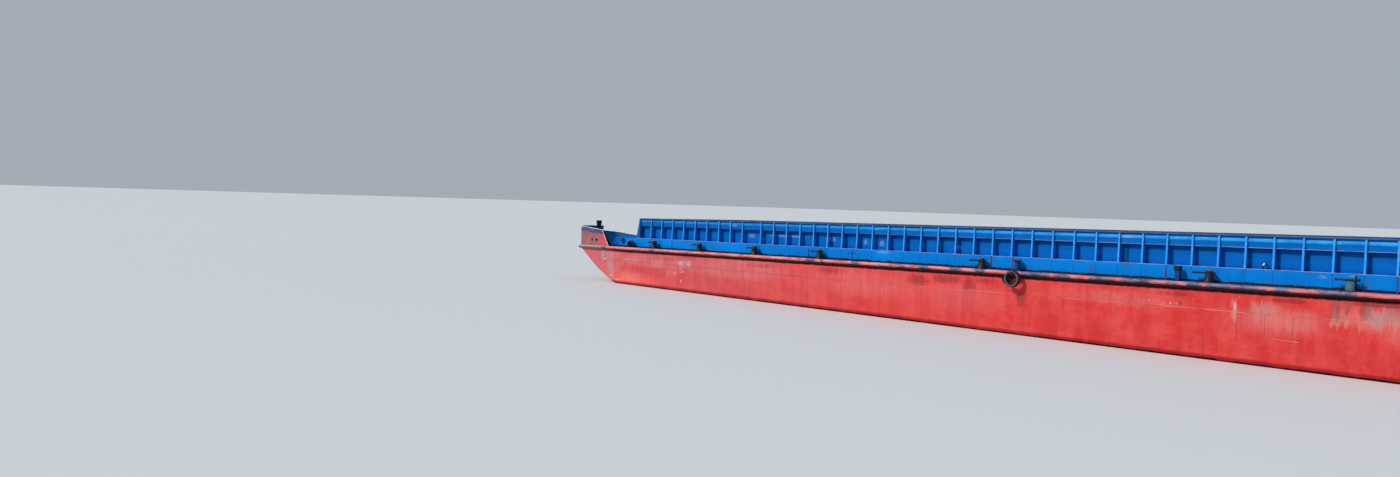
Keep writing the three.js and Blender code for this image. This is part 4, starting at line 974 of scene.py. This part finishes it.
def make_coaming_skins():
    for wall, stays in WALL_STAYS.items():
        chance = random.Random(f"skin {wall}")
        build = Build()
        for start, end in zip(stays, stays[1:]):
            bay = (start + STAY_WEB / 2 + PANEL_GAP, end - STAY_WEB / 2 - PANEL_GAP)
            low, high = LEDGE_Z + 0.003, (STIFFENER_Z if wall in SIDES else GIRDER_TOP) - PANEL_GAP
            bay_skin(build, wall, *bay, low, high, plate_face, PANEL_SWELL, chance)
            if wall in SIDES:
                low, high = STIFFENER_Z + STIFFENER_THICK + PANEL_GAP, GIRDER_TOP - PANEL_GAP
                bay_skin(build, wall, *bay, low, high, girder_crown, GIRDER_SWELL, chance)
        build.piece(f"coaming_skin_{wall}", coaming_blue, "coaming_blue", sharp=60)


# Places of the flat bars on the ledge's face, and numbers of the stays with no weld bead below them.
LEDGE_BARS = [-13.69, -12.42, 1.17, 1.86, 6.0, 10.8]
SEAM_SKIP = [7, 12, 19, 26, 33, 38]
BAR_HALF = 0.018
BAR_PROUD = 0.012
LEDGE_BEAD = 0.0045
EDGE_BEAD = 0.0075
LIP_BEAD = 0.0072
LIP_OUT = 0.124


def make_ledge_details(side, sign):
    chance = random.Random(f"ledge {side}")
    seams = Build()
    for x in (x for i, x in enumerate(SIDE_STAYS) if i not in SEAM_SKIP):
        run = wavy(chance, DECK_Z + 0.004, LEDGE_Z - 0.008, 10, 0.0012)
        path = [(x + drift, sign * (LEDGE_FACE + 0.0003), z) for z, drift in run]
        seams.tube(path, LEDGE_BEAD, 6, across=(1, 0, 0))
    seams.piece(f"ledge_seams_{side}", seam_blue, "coaming_blue")
    bars = Build()
    for x in LEDGE_BARS:
        low, high = sorted([sign * (LEDGE_FACE - 0.001), sign * (LEDGE_FACE + BAR_PROUD)])
        bars.slab((x - BAR_HALF, low, DECK_Z + 0.003), (x + BAR_HALF, high, LEDGE_Z - 0.002))
    bars.piece(f"ledge_bars_{side}", bar_rusty, "coaming_blue")
    edge = Build()
    path = [
        (x, sign * (LEDGE_FACE - 0.001 + drift), LEDGE_Z - 0.002 + drift)
        for x, drift in wavy(chance, AFT_LEDGE + 0.002, HOLD_FORE - 0.002, 220, 0.0009)
    ]
    edge.tube(path, EDGE_BEAD, 8)
    edge.piece(f"ledge_edge_{side}", rubbed_edge, "coaming_blue")
    lip = Build()
    off, z = sign * (PLATE_FACE + LIP_OUT), STIFFENER_Z + STIFFENER_THICK / 2
    for start, end in zip(SIDE_STAYS, SIDE_STAYS[1:]):
        run = wavy(chance, start + 0.006, end - 0.006, 6, 0.0008)
        lip.tube([(x, off, z + drift) for x, drift in run], LIP_BEAD, 6)
    lip.piece(f"stiffener_lip_{side}", rubbed_edge, "coaming_blue")


SEAM_Z = 1.395
SEAM_RISE = 0.10
SEAM_RUN = 11
SEAM_START = -5
SEAM_ENDS = (-16.0, 13.2)
SEAM_BEAD = 0.0048


def seam_height(x):
    """Height of the long weld on the ship's side, which rises a little towards the stern."""
    return SEAM_Z + SEAM_RISE * min(max((SEAM_START - x) / SEAM_RUN, 0), 1)


# Butts of the side plating: place along the hull, lower and upper end, and radius of the bead.
BUTTS = [
    (-13.2, 0.6, 1.84, 0.0030), (-5.27, 0.6, 1.4, 0.0036), (-3.84, 0.6, 1.84, 0.0036),
    (2.95, 0.7, 1.84, 0.0030), (7.81, 0.75, 1.84, 0.0048), (8.4, 0.98, 1.37, 0.0036),
    (8.97, 0.8, 1.4, 0.0036), (11.7, 0.6, 1.84, 0.0030),
]
# Scratches: after and fore end, and the height at each. They thin out at their ends.
SCRATCHES = [(8.53, 9.12, 0.87, 0.84), (5.75, 7.0, 1.425, 1.405), (7.0, 8.07, 1.405, 1.385)]
SCRATCH_RADII = [0.0012] + [0.0042] * 14 + [0.0012]


def make_hull_seams(side, sign):
    chance = random.Random(f"hull {side}")
    face = sign * (SIDE_Y + 0.0002)
    seam = Build()
    run = wavy(chance, *SEAM_ENDS, 300, 0.0016)
    seam.tube([(x, face, seam_height(x) + drift) for x, drift in run], SEAM_BEAD, 6)
    seam.piece(f"hull_seam_{side}", seam_red, "hull_red")
    butts = Build()
    for x, low, top, radius in BUTTS:
        run = wavy(chance, low, top, 24, 0.0014)
        butts.tube([(x + drift, face, z) for z, drift in run], radius, 6, across=(1, 0, 0))
    butts.piece(f"hull_butts_{side}", butt_red, "hull_red")
    scratches = Build()
    for start, end, high, low in SCRATCHES:
        run = wavy(chance, 0.0, 1.0, 16, 0.0012)
        path = [(start + (end - start) * t, face, high + (low - high) * t + drift) for t, drift in run]
        scratches.tube(path, SCRATCH_RADII, 6)
    scratches.piece(f"hull_scratches_{side}", scratch_pale, "hull_red")


# Limits of the fender's dents: place, half length, turn from straight out, depth. Then rings and ends.
FENDER_DENTS = [(-17.4, 13.2), (0.06, 0.35), (-0.5, 0.9), (0.3, 1)]
FENDER_RINGS = (-15.0, -9.1, -3.2, 2.75, 8.7)
FENDER_ENDS = (-17.59, 13.29)
# The skin's stand off the pipe, the least of it that dents leave, and a full dent's depth and turn.
SKIN_PROUD = 0.0038
SKIN_LEAST = 0.0006
DENT_DEPTH = 0.0034
DENT_TURN = 0.6


def fender_arc(x, sign, turns, radii):
    """Points on the fender's outer half, one for each turn up or down from straight out."""
    points = []
    for turn, radius in zip(turns, radii):
        y = SIDE_Y + FENDER_BACK + math.cos(turn) * radius
        points.append((x, sign * y, FENDER_Z + math.sin(turn) * radius))
    return points


def make_fender_skins(side, sign):
    """The fender pipe's own surface, dented in use."""
    dents = draws(random.Random(f"fender {side}"), FENDER_DENTS, 150)
    turns = [(k / 12 - 0.5) * math.pi for k in range(13)]
    rows = []
    for x in steps(*FENDER_ENDS, 560):
        near = [dent for dent in dents if abs(x - dent[0]) < 2.5 * dent[1]]
        radii = []
        for turn in turns:
            out = SKIN_PROUD
            for middle, reach, at, depth in near:
                fall = ((x - middle) / reach) ** 2 + ((turn - at) / DENT_TURN) ** 2
                out -= DENT_DEPTH * depth * math.exp(-fall)
            radii.append(FENDER_RADIUS + max(out, SKIN_LEAST))
        rows.append(fender_arc(x, sign, turns, radii))
    build = Build()
    build.grid(rows)
    turns = [(k / 14 - 0.5) * math.pi for k in range(15)]
    for x in FENDER_RINGS:
        build.tube(fender_arc(x, sign, turns, [FENDER_RADIUS + 0.003] * 15), 0.006, 6, across=(1, 0, 0))
    build.piece(f"fender_skin_{side}", fender_red, "fender_red")


# Tyre and its rope


def tyre_profile():
    """Half the outer outline of a worn lorry tyre, as (radius, width) points from the bead to the middle of
    the tread.
    """
    hole, radius, half = TYRE["hole"], TYRE["radius"], TYRE["width"] / 2
    return [
        (hole, half - 0.028), (hole + 0.003, half - 0.018), (hole + 0.012, half - 0.010),
        (hole + 0.020, half - 0.013), (hole + 0.028, half - 0.007), (hole + 0.046, half - 0.0006),
        (hole + 0.058, half - 0.003),
        (radius - 0.018, half - 0.010), (radius - 0.007, half - 0.022), (radius - 0.002, half - 0.036),
        (radius - 0.0004, 0.0),
    ]


GROOVE = 0.004


def make_tyres(side, sign):
    middle = sign * (TYRE["back"] + TYRE["width"] / 2)
    outer = tyre_profile()
    well = [(TYRE["hole"] + 0.008, 0.020), (TYRE["radius"] - 0.022, 0.014), (TYRE["radius"] - 0.020, 0.0)]
    half = outer[::-1] + [(TYRE["hole"] + 0.002, 0.034)] + well
    whole = half + [(radius, -width) for radius, width in half[-2::-1]]
    rows = []
    for radius, width in whole:
        grooved = radius > TYRE["radius"] - 0.002 and abs(abs(width) - 0.014) < 0.016
        row = []
        for k, turn in enumerate(around(72)):
            reach = radius - GROOVE if grooved and k % 3 == 0 else radius
            row += hoop(TYRE["x"], middle + sign * width, TYRE["z"], reach, [turn])
        rows.append(row)
    build = Build()
    build.grid(rows + [rows[0]], closed=True)
    tyre = build.piece(f"worn_tyre_{side}", tyre_rubber, "tyre_rubber", sharp=50)
    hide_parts(f"tyre_{side}")


ROPE_RADIUS = 0.009


def rope_loop():
    """The rope's path: x from the tyre's middle, distance off the centre plane, z."""
    back, width = TYRE["back"], TYRE["width"]
    face = back + width + 0.012
    under = TYRE["z"] + TYRE["hole"] - ROPE_RADIUS
    over = TYRE["z"] + TYRE["radius"] + 0.014
    behind = back - 0.011
    deck = DECK_Z + ROPE_RADIUS + 0.003
    eye = 3.4405
    return [
        (-0.014, eye, deck), (-0.014, 3.48, deck), (-0.014, 3.54, deck + 0.004),
        (-0.013, 3.592, over - 0.010), (-0.012, back + 0.010, over), (-0.011, back + 0.060, over + 0.001),
        (-0.010, face - 0.012, over),
        (-0.008, face, over - 0.018), (-0.006, face, over - 0.060), (-0.004, face, under + 0.014),
        (-0.002, face - 0.014, under), (0, back + 0.060, under), (0.003, back + 0.004, under + 0.001),
        (0.006, behind, under + 0.012), (0.009, behind, under + 0.040), (0.012, 3.594, deck - 0.006),
        (0.013, 3.545, deck + 0.003), (0.014, 3.49, deck), (0.014, eye, deck),
    ]


def smooth_path(points, each):
    """Points of a Catmull-Rom curve, each steps between two of the given ones."""
    points = [Vector(point) for point in points]
    path = []
    for i in range(len(points) - 1):
        a, b, c, d = (points[min(max(i + k, 0), len(points) - 1)] for k in (-1, 0, 1, 2))
        for step in range(each):
            t = step / each
            path.append(0.5 * (
                2 * b + (c - a) * t + (2 * a - 5 * b + 4 * c - d) * t ** 2 + (3 * b - a - 3 * c + d) * t ** 3
            ))
    path.append(points[-1])
    return path


def laid_rope(build, path, radius, lay, across):
    """Three strands wound round a path, one turn for every length lay."""
    across = Vector(across)
    travelled = [0.0]
    for a, b in zip(path, path[1:]):
        travelled.append(travelled[-1] + (b - a).length)
    for strand in range(3):
        wound = []
        for i, point in enumerate(path):
            side, up = square_to(path, i, across)
            turn = 2 * math.pi * (travelled[i] / lay + strand / 3)
            wound.append(point + (side * math.cos(turn) + up * math.sin(turn)) * radius * 0.46)
        build.tube(wound, radius * 0.54, 6, across)


def make_tyre_ropes(side, sign):
    loop = [(TYRE["x"] + x, sign * y, z) for x, y, z in rope_loop()]
    build = Build()
    laid_rope(build, smooth_path(loop, 10), ROPE_RADIUS, ROPE_LAY, (1, 0, 0))
    rope = build.piece(f"laid_rope_{side}", rope_fibre_paint, "rope_fibre", sharp=70)
    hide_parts(f"tyre_rope_{side}")


# Side deck fittings: kind, place from the hold's after end, as in the part's source.
FITTINGS = [
    ("horn", 0.88), ("horn", 3.42), ("horn", 6.22), ("horn", 9.16), ("horn", 15.10),
    ("round", 16.21), ("square", 20.47), ("horn", 21.19), ("cross", 24.09),
]
HORN_Z = DECK_Z + 0.225
HORN_REACH = (-0.34, 0.095)
CROSS_Z = DECK_Z + 0.24
CROSS_REACH = (-0.265, 0.135)
CROSS_SHIFT = 0.015
EYE_X, EYE_Y, EYE_Z = -14.66, 3.32, 2.14


def horn_tip(build, x, y, z, away, radius=0.024):
    """A rounded knob on the end of a horn's arm."""
    profile = [(radius * 0.6, 0.0), (radius + 0.004, 0.008), (radius + 0.009, 0.022), (radius + 0.004, 0.036)]
    profile += [(radius * 0.5, 0.044)]
    build.lathe([(r, away * h) for r, h in profile], (x, y, z), "X", 14)


# Turned shapes of the fittings, as (radius, height) over the deck.
FOOT_RADIUS = {"horn": 0.08, "round": 0.072, "square": 0.066, "cross": 0.108}
HORN_SKIRT = [(0.138, 0.001), (0.136, 0.018), (0.108, 0.075), (0.088, 0.150), (0.079, 0.200)]
HORN_COLLAR = [(0.081, 0.10), (0.086, 0.106), (0.086, 0.118), (0.081, 0.124)]
HORN_CAP = [(0.083, 0.262), (0.086, 0.272), (0.084, 0.284), (0.060, 0.293), (0.012, 0.297)]
ROUND_CAP = [(0.101, 0.270), (0.103, 0.290), (0.096, 0.300), (0.020, 0.305)]
# Ropes left on the bollards: place, turns, height of the lowest.
BOLLARD_ROPES = [(3.42, 4, 0.10), (6.22, 3, 0.13), (9.16, 3, 0.06), (0.88, 2, 0.14)]
COIL_REACH = 0.0895
COIL_RISE = 0.021
ROPE_LAY = 0.05


def make_fitting_details(side, sign):
    y = sign * SIDE_DECK_Y
    iron = Build()
    caps = Build()
    lines = Build()
    for kind, at in FITTINGS:
        x = HOLD_AFT + at + (CROSS_SHIFT if kind == "cross" else 0.0)
        foot = FOOT_RADIUS[kind]
        flange = [(foot + 0.030, 0.0), (foot + 0.030, 0.007), (foot + 0.011, 0.013), (foot, 0.024)]
        iron.lathe(flange, (x, y, DECK_Z + 0.0002), "Z", 28)
        if kind == "horn":
            iron.lathe(HORN_SKIRT, (x, y, DECK_Z), "Z", 28)
            caps.lathe(HORN_CAP, (x, y, DECK_Z), "Z", 28)
            horn_tip(iron, x + HORN_REACH[0], y, HORN_Z, -1)
            horn_tip(iron, x + HORN_REACH[1], y, HORN_Z, 1, 0.026)
            iron.lathe(HORN_COLLAR, (x, y, DECK_Z), "Z", 28)
        if kind == "round":
            caps.lathe(ROUND_CAP, (x, y, DECK_Z), "Z", 28)
        if kind == "cross":
            horn_tip(iron, x + CROSS_REACH[0], y, CROSS_Z, -1)
            horn_tip(iron, x + CROSS_REACH[1], y, CROSS_Z, 1)
    for at, turns, height in BOLLARD_ROPES:
        path = []
        for k in range(turns * 20 + 1):
            turn = 2 * math.pi * k / 20
            reach = COIL_REACH + 0.0012 * math.sin(3 * turn)
            z = DECK_Z + height + COIL_RISE * turn / (2 * math.pi) * (1 + 0.05 * math.sin(1.7 * turn))
            path.append(Vector((HOLD_AFT + at + reach * math.cos(turn), y + reach * math.sin(turn), z)))
        laid_rope(lines, path, 0.010, ROPE_LAY, (0, 0, 1))
    iron.piece(f"fitting_iron_{side}", fitting_black, "fitting_black")
    caps.piece(f"fitting_caps_{side}", bollard_heads, "fitting_black")
    lines.piece(f"bollard_rope_{side}", fitting_black, "rope_fibre", sharp=70)


# Small ironwork of the side deck: thin posts with a cross bar, a scupper's hood, pipes on the ledge.
THIN_POSTS = [(-5.37, 0.28, 0.0), (-3.57, 0.31, 0.15)]
HOOD_X, HOOD_Y = -2.95, 3.40
HOOD_HALF = 0.11
HOOD_RISE = 0.085
HOOD_SHAPE = [(-0.05, 0.0), (-0.045, 0.8), (-0.02, 0.97), (0.02, 1.0), (0.035, 0.9), (0.04, 0.0)]
GOOSENECK_X, GOOSENECK_Y = 8.16, 3.05
NECK_Z = 2.455
NECK_BEND = 0.042
DRAIN_X = 4.95


def make_side_ironwork(side, sign):
    iron = Build()
    for x, height, bar in THIN_POSTS:
        y = sign * (SIDE_DECK_Y + 0.04)
        path = [(x, y, DECK_Z + z) for z in steps(0.0, height, 6)]
        iron.tube(path, [0.020, 0.016, 0.015, 0.015, 0.015, 0.017], 10, across=(1, 0, 0))
        iron.lathe([(0.045, 0.0002), (0.045, 0.008), (0.018, 0.014)], (x, y, DECK_Z), "Z", 16)
        if bar:
            run = [(x + along, y, DECK_Z + height * 0.72) for along in steps(-bar, bar * 0.75, 7)]
            iron.tube(run, [0.016, 0.012, 0.011, 0.011, 0.011, 0.012, 0.016], 8)
    hood = []
    for turn in steps(0, math.pi, 9):
        x, rise = HOOD_X + HOOD_HALF * math.cos(turn), HOOD_RISE * math.sin(turn)
        hood.append([(x, sign * (HOOD_Y + out), DECK_Z + 0.0005 + rise * fall) for out, fall in HOOD_SHAPE])
    iron.grid(hood)
    x, face = DRAIN_X, sign * (PLATE_FACE + 0.045)
    pipe = [(x, face, 2.827), (x, face, 2.60), (x, face, 2.43), (x + 0.01, face + sign * 0.02, 2.385)]
    iron.tube(smooth_path(pipe, 5), 0.011, 10, across=(1, 0, 0))
    iron.piece(f"side_ironwork_{side}", fitting_black, "fitting_black")
    neck = Build()
    x, y = GOOSENECK_X, sign * GOOSENECK_Y
    bend = [
        (x + NECK_BEND - NECK_BEND * math.cos(turn), y, NECK_Z + 0.030 * math.sin(turn))
        for turn in steps(0, math.pi, 9)
    ]
    foot = [(x, y, LEDGE_Z + 0.0005), (x, y, LEDGE_Z + 0.05)]
    path = foot + bend + [(x + 2 * NECK_BEND, y, NECK_Z - 0.025)]
    neck.tube(smooth_path(path, 4), 0.017, 12, across=(0, 1, 0))
    neck.lathe([(0.036, 0.0004), (0.036, 0.010), (0.018, 0.016)], (x, y, LEDGE_Z), "Z", 16)
    neck.piece(f"ledge_gooseneck_{side}", pale_pipe, "rail_worn")


def stern_bulwark_top(x):
    return DECK_Z + BULWARK_LOW + BULWARK_CLIMB * (HOLD_AFT - x) / BULWARK_RUN


def stern_bulwark_line():
    """The top of the port bulwark: inboard, out to the side, and round the quarter to the transom."""
    inboard = LEDGE_FACE - BULWARK_MIDDLE
    flush = SIDE_Y - BULWARK_MIDDLE
    corner = STERN_END + STERN_CORNER
    run = [(x, inboard) for x in steps(AFT_LEDGE - 0.004, STERN_KNUCKLE, 12)]
    run += [(-16.244, SIDE_Y - 0.028 - BULWARK_MIDDLE), (STERN_FLUSH, flush)]
    run += [(x, flush) for x in steps(STERN_FLUSH - 0.1, corner, 12)]
    radius = STERN_CORNER - BULWARK_MIDDLE
    for k in range(1, 9):
        turn = math.pi / 2 * k / 8
        run.append((corner - radius * math.sin(turn), SIDE_Y - STERN_CORNER + radius * math.cos(turn)))
    run += [(STERN_END + BULWARK_MIDDLE, y) for y in steps(2.9, TRANSOM_OPEN, 6)]
    return [(x, y, stern_bulwark_top(x) + 0.004) for x, y in run]


# The mooring holes in the side, as x and radius, and the round rim on the inboard bulwark.
HAWSES = [(-16.96, 0.038), (-16.66, 0.048)]
HAWSE_Z = 2.225
RIM_X, RIM_Z = -15.37, 2.235
RIM_SHAPE = [
    (0.094, 0.0), (0.112, 0.006), (0.118, 0.017), (0.112, 0.028), (0.094, 0.031), (0.080, 0.022),
    (0.078, 0.004), (0.020, 0.003),
]
# The collar round the towing eye, as (radius, distance out).
COLLAR_SHAPE = [
    (0.080, -0.08), (0.116, -0.08), (0.117, 0.0), (0.114, 0.09), (0.104, 0.104), (0.084, 0.104),
    (0.079, 0.09), (0.080, -0.08),
]


def hawse_liner(build, x, radius, sign):
    """A welded ring in a mooring hole, drawn inwards as a short pipe."""
    loop = [
        (0.013, -0.002), (0.011, 0.004), (0.002, 0.006), (-0.004, 0.001),
        (-0.005, -0.070), (-0.001, -0.070), (-0.0005, -0.002), (0.013, -0.002),
    ]
    build.grid([
        hoop(x, sign * (SIDE_Y - 0.004 + out), HAWSE_Z, radius + wider, around(28)) for wider, out in loop
    ], closed=True)


def make_bulwark_details(side, sign):
    """The bead on the bulwark's top, the rings and the collar of the holes, a dark disc of painted shade
    behind each mooring hole, and the rim inboard.
    """
    bead = Build()
    bead.tube([(x, sign * y, z) for x, y, z in stern_bulwark_line()], 0.019, 8)
    over_eye = hoop(EYE_X, sign * (EYE_Y + 0.102), EYE_Z, 0.098, steps(1.0, 3.6, 16))
    bead.tube(over_eye, [0.004] + [0.012] * 14 + [0.004], 8, across=(0, 1, 0))
    run = zip(
        steps(STERN_FLUSH + 0.42, STERN_FLUSH + 0.02, 8),
        steps(DECK_Z + 0.012, stern_bulwark_top(STERN_FLUSH) - 0.03, 8),
    )
    bead.tube([(x, sign * (SIDE_Y - BULWARK_MIDDLE), z) for x, z in run], 0.011, 8, across=(0, 1, 0))
    bead.piece(f"bulwark_bead_{side}", cap_rubbed, "rail_worn")
    rings = Build()
    for x, radius in HAWSES:
        hawse_liner(rings, x, radius, sign)
        # A dark disc behind each hole: painted shade inside it.
        shade = [(radius + 0.020, -0.074), (radius + 0.020, -0.078), (0.004, -0.080)]
        rings.lathe([(r, sign * h) for r, h in shade], (x, sign * SIDE_Y, HAWSE_Z), "Y", 20)
    rings.grid([
        hoop(EYE_X, sign * (EYE_Y + out), EYE_Z, reach, around(32)) for reach, out in COLLAR_SHAPE
    ], closed=True)
    rings.piece(f"hawse_rings_and_shade_{side}", fitting_black, "fitting_black")
    build = Build()
    centre = (RIM_X, sign * (LEDGE_FACE - 0.004), RIM_Z)
    build.lathe([(r, sign * h) for r, h in RIM_SHAPE], centre, "Y", 32)
    build.piece(f"mooring_pipe_{side}", pipe_blue, "coaming_blue")


def lump(build, centre, size, chance):
    """A small rough clod."""
    rows = []
    for v in range(5):
        tilt = math.pi * (v + 0.5) / 5
        row = []
        for turn in around(7):
            reach = size * chance.uniform(0.75, 1.15)
            row.append((
                centre[0] + reach * 1.4 * math.sin(tilt) * math.cos(turn),
                centre[1] + reach * math.sin(tilt) * math.sin(turn),
                centre[2] + reach * 0.7 * math.cos(tilt),
            ))
        rows.append(row)
    build.grid(rows, closed=True, capped=True)


# Where dirt has gathered against the ledge's foot: place, half length, clods.
DIRT_HEAPS = [
    (1.2, 0.5, 8), (3.1, 0.4, 12), (3.7, 0.5, 16), (5.0, 0.5, 24), (5.6, 0.3, 14), (7.9, 0.35, 22),
    (8.5, 0.4, 10), (9.6, 0.5, 24), (11.6, 0.6, 22), (-2.0, 0.6, 10), (0.4, 0.5, 8), (-9.6, 0.3, 5),
    (-7.4, 0.6, 8), (2.6, 0.2, 6),
]


def make_dirt(side, sign):
    chance = random.Random(f"dirt {side}")
    build = Build()
    for middle, reach, count in DIRT_HEAPS:
        for _ in range(count * 2):
            size = chance.uniform(0.010, 0.034)
            x = middle + chance.gauss(0, reach * 0.5)
            y = LEDGE_FACE + 0.012 + size + abs(chance.gauss(0, 0.05))
            lump(build, (x, sign * y, DECK_Z + size * 0.45), size, chance)
    build.piece(f"deck_dirt_{side}", dirt_paint, "deck_coating", sharp=80)


# Steel wire on the winch's drum: turns, distance of its middle off the axis, half its width, radius.
WIRE_TURNS = 17
WIRE_REACH = 0.098
WIRE_HALF = 0.225
WIRE_RADIUS = 0.0125


def make_drum_rope():
    path = []
    count = WIRE_TURNS * 24
    for k in range(count + 1):
        turn = 2 * math.pi * k / 24
        path += hoop(WINCH_X, -WIRE_HALF + 2 * WIRE_HALF * k / count, WINCH_Z, WIRE_REACH, [turn])
    build = Build()
    build.tube(path, WIRE_RADIUS, 7, across=(0, 1, 0))
    build.piece("winch_wire", steel_rusty, "steel_rusty", body="winch_drum")


SAME_POINT = 0.00005
SHARP_EDGE = 34


def rounded(node):
    """Smooth shading over a CAD solid's facets, with its real edges kept sharp."""
    group = bpy.data.node_groups.get("facets_to_curves")
    if group is None:
        group = bpy.data.node_groups.new("facets_to_curves", "GeometryNodeTree")
        group.interface.new_socket("Geometry", in_out="INPUT", socket_type="NodeSocketGeometry")
        group.interface.new_socket("Geometry", in_out="OUTPUT", socket_type="NodeSocketGeometry")
        entry = group.nodes.new("NodeGroupInput")
        leave = group.nodes.new("NodeGroupOutput")
        merge = group.nodes.new("GeometryNodeMergeByDistance")
        merge.inputs["Distance"].default_value = SAME_POINT
        smooth = group.nodes.new("GeometryNodeSetShadeSmooth")
        smooth.inputs["Shade Smooth"].default_value = True
        crease = group.nodes.new("GeometryNodeSetShadeSmooth")
        crease.domain = "EDGE"
        crease.inputs["Shade Smooth"].default_value = False
        edge = group.nodes.new("GeometryNodeInputMeshEdgeAngle")
        sharp = group.nodes.new("FunctionNodeCompare")
        sharp.operation = "GREATER_THAN"
        sharp.inputs[1].default_value = math.radians(SHARP_EDGE)
        links = group.links
        links.new(entry.outputs[0], merge.inputs["Geometry"])
        links.new(merge.outputs["Geometry"], smooth.inputs["Geometry"])
        links.new(smooth.outputs["Geometry"], crease.inputs["Geometry"])
        links.new(edge.outputs["Unsigned Angle"], sharp.inputs[0])
        links.new(sharp.outputs[0], crease.inputs["Selection"])
        links.new(crease.outputs["Geometry"], leave.inputs[0])
    modifier = node.modifiers.new("facets_to_curves", "NODES")
    modifier.node_group = group


ROUNDED = (
    "bow_rake", "stern_rake", "fender", "bollard", "bitts", "vent", "winch_drum", "side_deck", "wing_tank",
    "bulwark_quarter", "bulwark_bow", "deck_aft",
)


def dress_solids(finishes):
    """Gives every node of the frame its finish, by the start of its name."""
    for name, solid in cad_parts.items():
        key = max((prefix for prefix in finishes if name.startswith(prefix)), key=len)
        solid.data.materials.clear()
        solid.data.materials.append(finishes[key])
        if name.startswith(ROUNDED):
            rounded(solid)


make_camera()
make_floor()
make_lights()

hull_red = hull_paint()
coaming_blue = coaming_paint()
rail_worn = rail_paint()
fender_red = fender_paint()
deck_coating = deck_paint()
fitting_black = fitting_paint()
side_deck = side_deck_paint()
bulwark = bulwark_paint()
tyre_rubber = rubber()
rope_fibre_paint = rope_fibre()
steel_rusty = rusty_steel()
rubbed_edge = edge_paint()
cap_rubbed = cap_paint()
bollard_heads = cap_iron_paint()
seam_blue = seam_paint("seam_blue", (0, 84, 160), (34, 66, 112), 0.03)
bar_rusty = seam_paint("bar_rusty", (8, 84, 160), (84, 80, 112), 0.14)
# The long seam's pale pink line, shown in places, is a painted highlight on the bead; towards the stern the
# line is dark red-brown.
seam_red = seam_paint("seam_red", (182, 50, 50), (214, 128, 122), 0.0, (128, 74, 82))
butt_red = seam_paint("butt_red", (186, 52, 50), (150, 48, 54), 0.0)
scratch_pale = seam_paint("scratch_pale", (220, 120, 104), (240, 150, 130), -0.1)
pipe_blue = seam_paint("pipe_blue", (0, 58, 122), (4, 40, 88), 0.0)
pale_pipe = pale_paint()
dirt_paint = dirt()

dress_solids({
    "double_bottom": hull_red, "wing_tank": hull_red, "stern_rake": hull_red, "bow_rake": hull_red,
    "skeg": hull_red, "deck": deck_coating, "side_deck": side_deck, "coaming": coaming_blue,
    "coaming_rail": rail_worn, "fender": fender_red, "bulwark": bulwark, "bulwark_inboard": coaming_blue,
    "tyre": tyre_rubber, "tyre_rope": rope_fibre_paint, "bollard": fitting_black, "bitts": fitting_black,
    "vent": steel_rusty, "winch": steel_rusty, "ladder": steel_rusty, "hatch": coaming_blue,
})

make_coaming_skins()
for make in (
    make_ledge_details, make_hull_seams, make_fender_skins, make_tyres, make_tyre_ropes,
    make_fitting_details, make_side_ironwork, make_bulwark_details, make_dirt,
):
    for side, sign in SIDES.items():
        make(side, sign)
make_drum_rope()
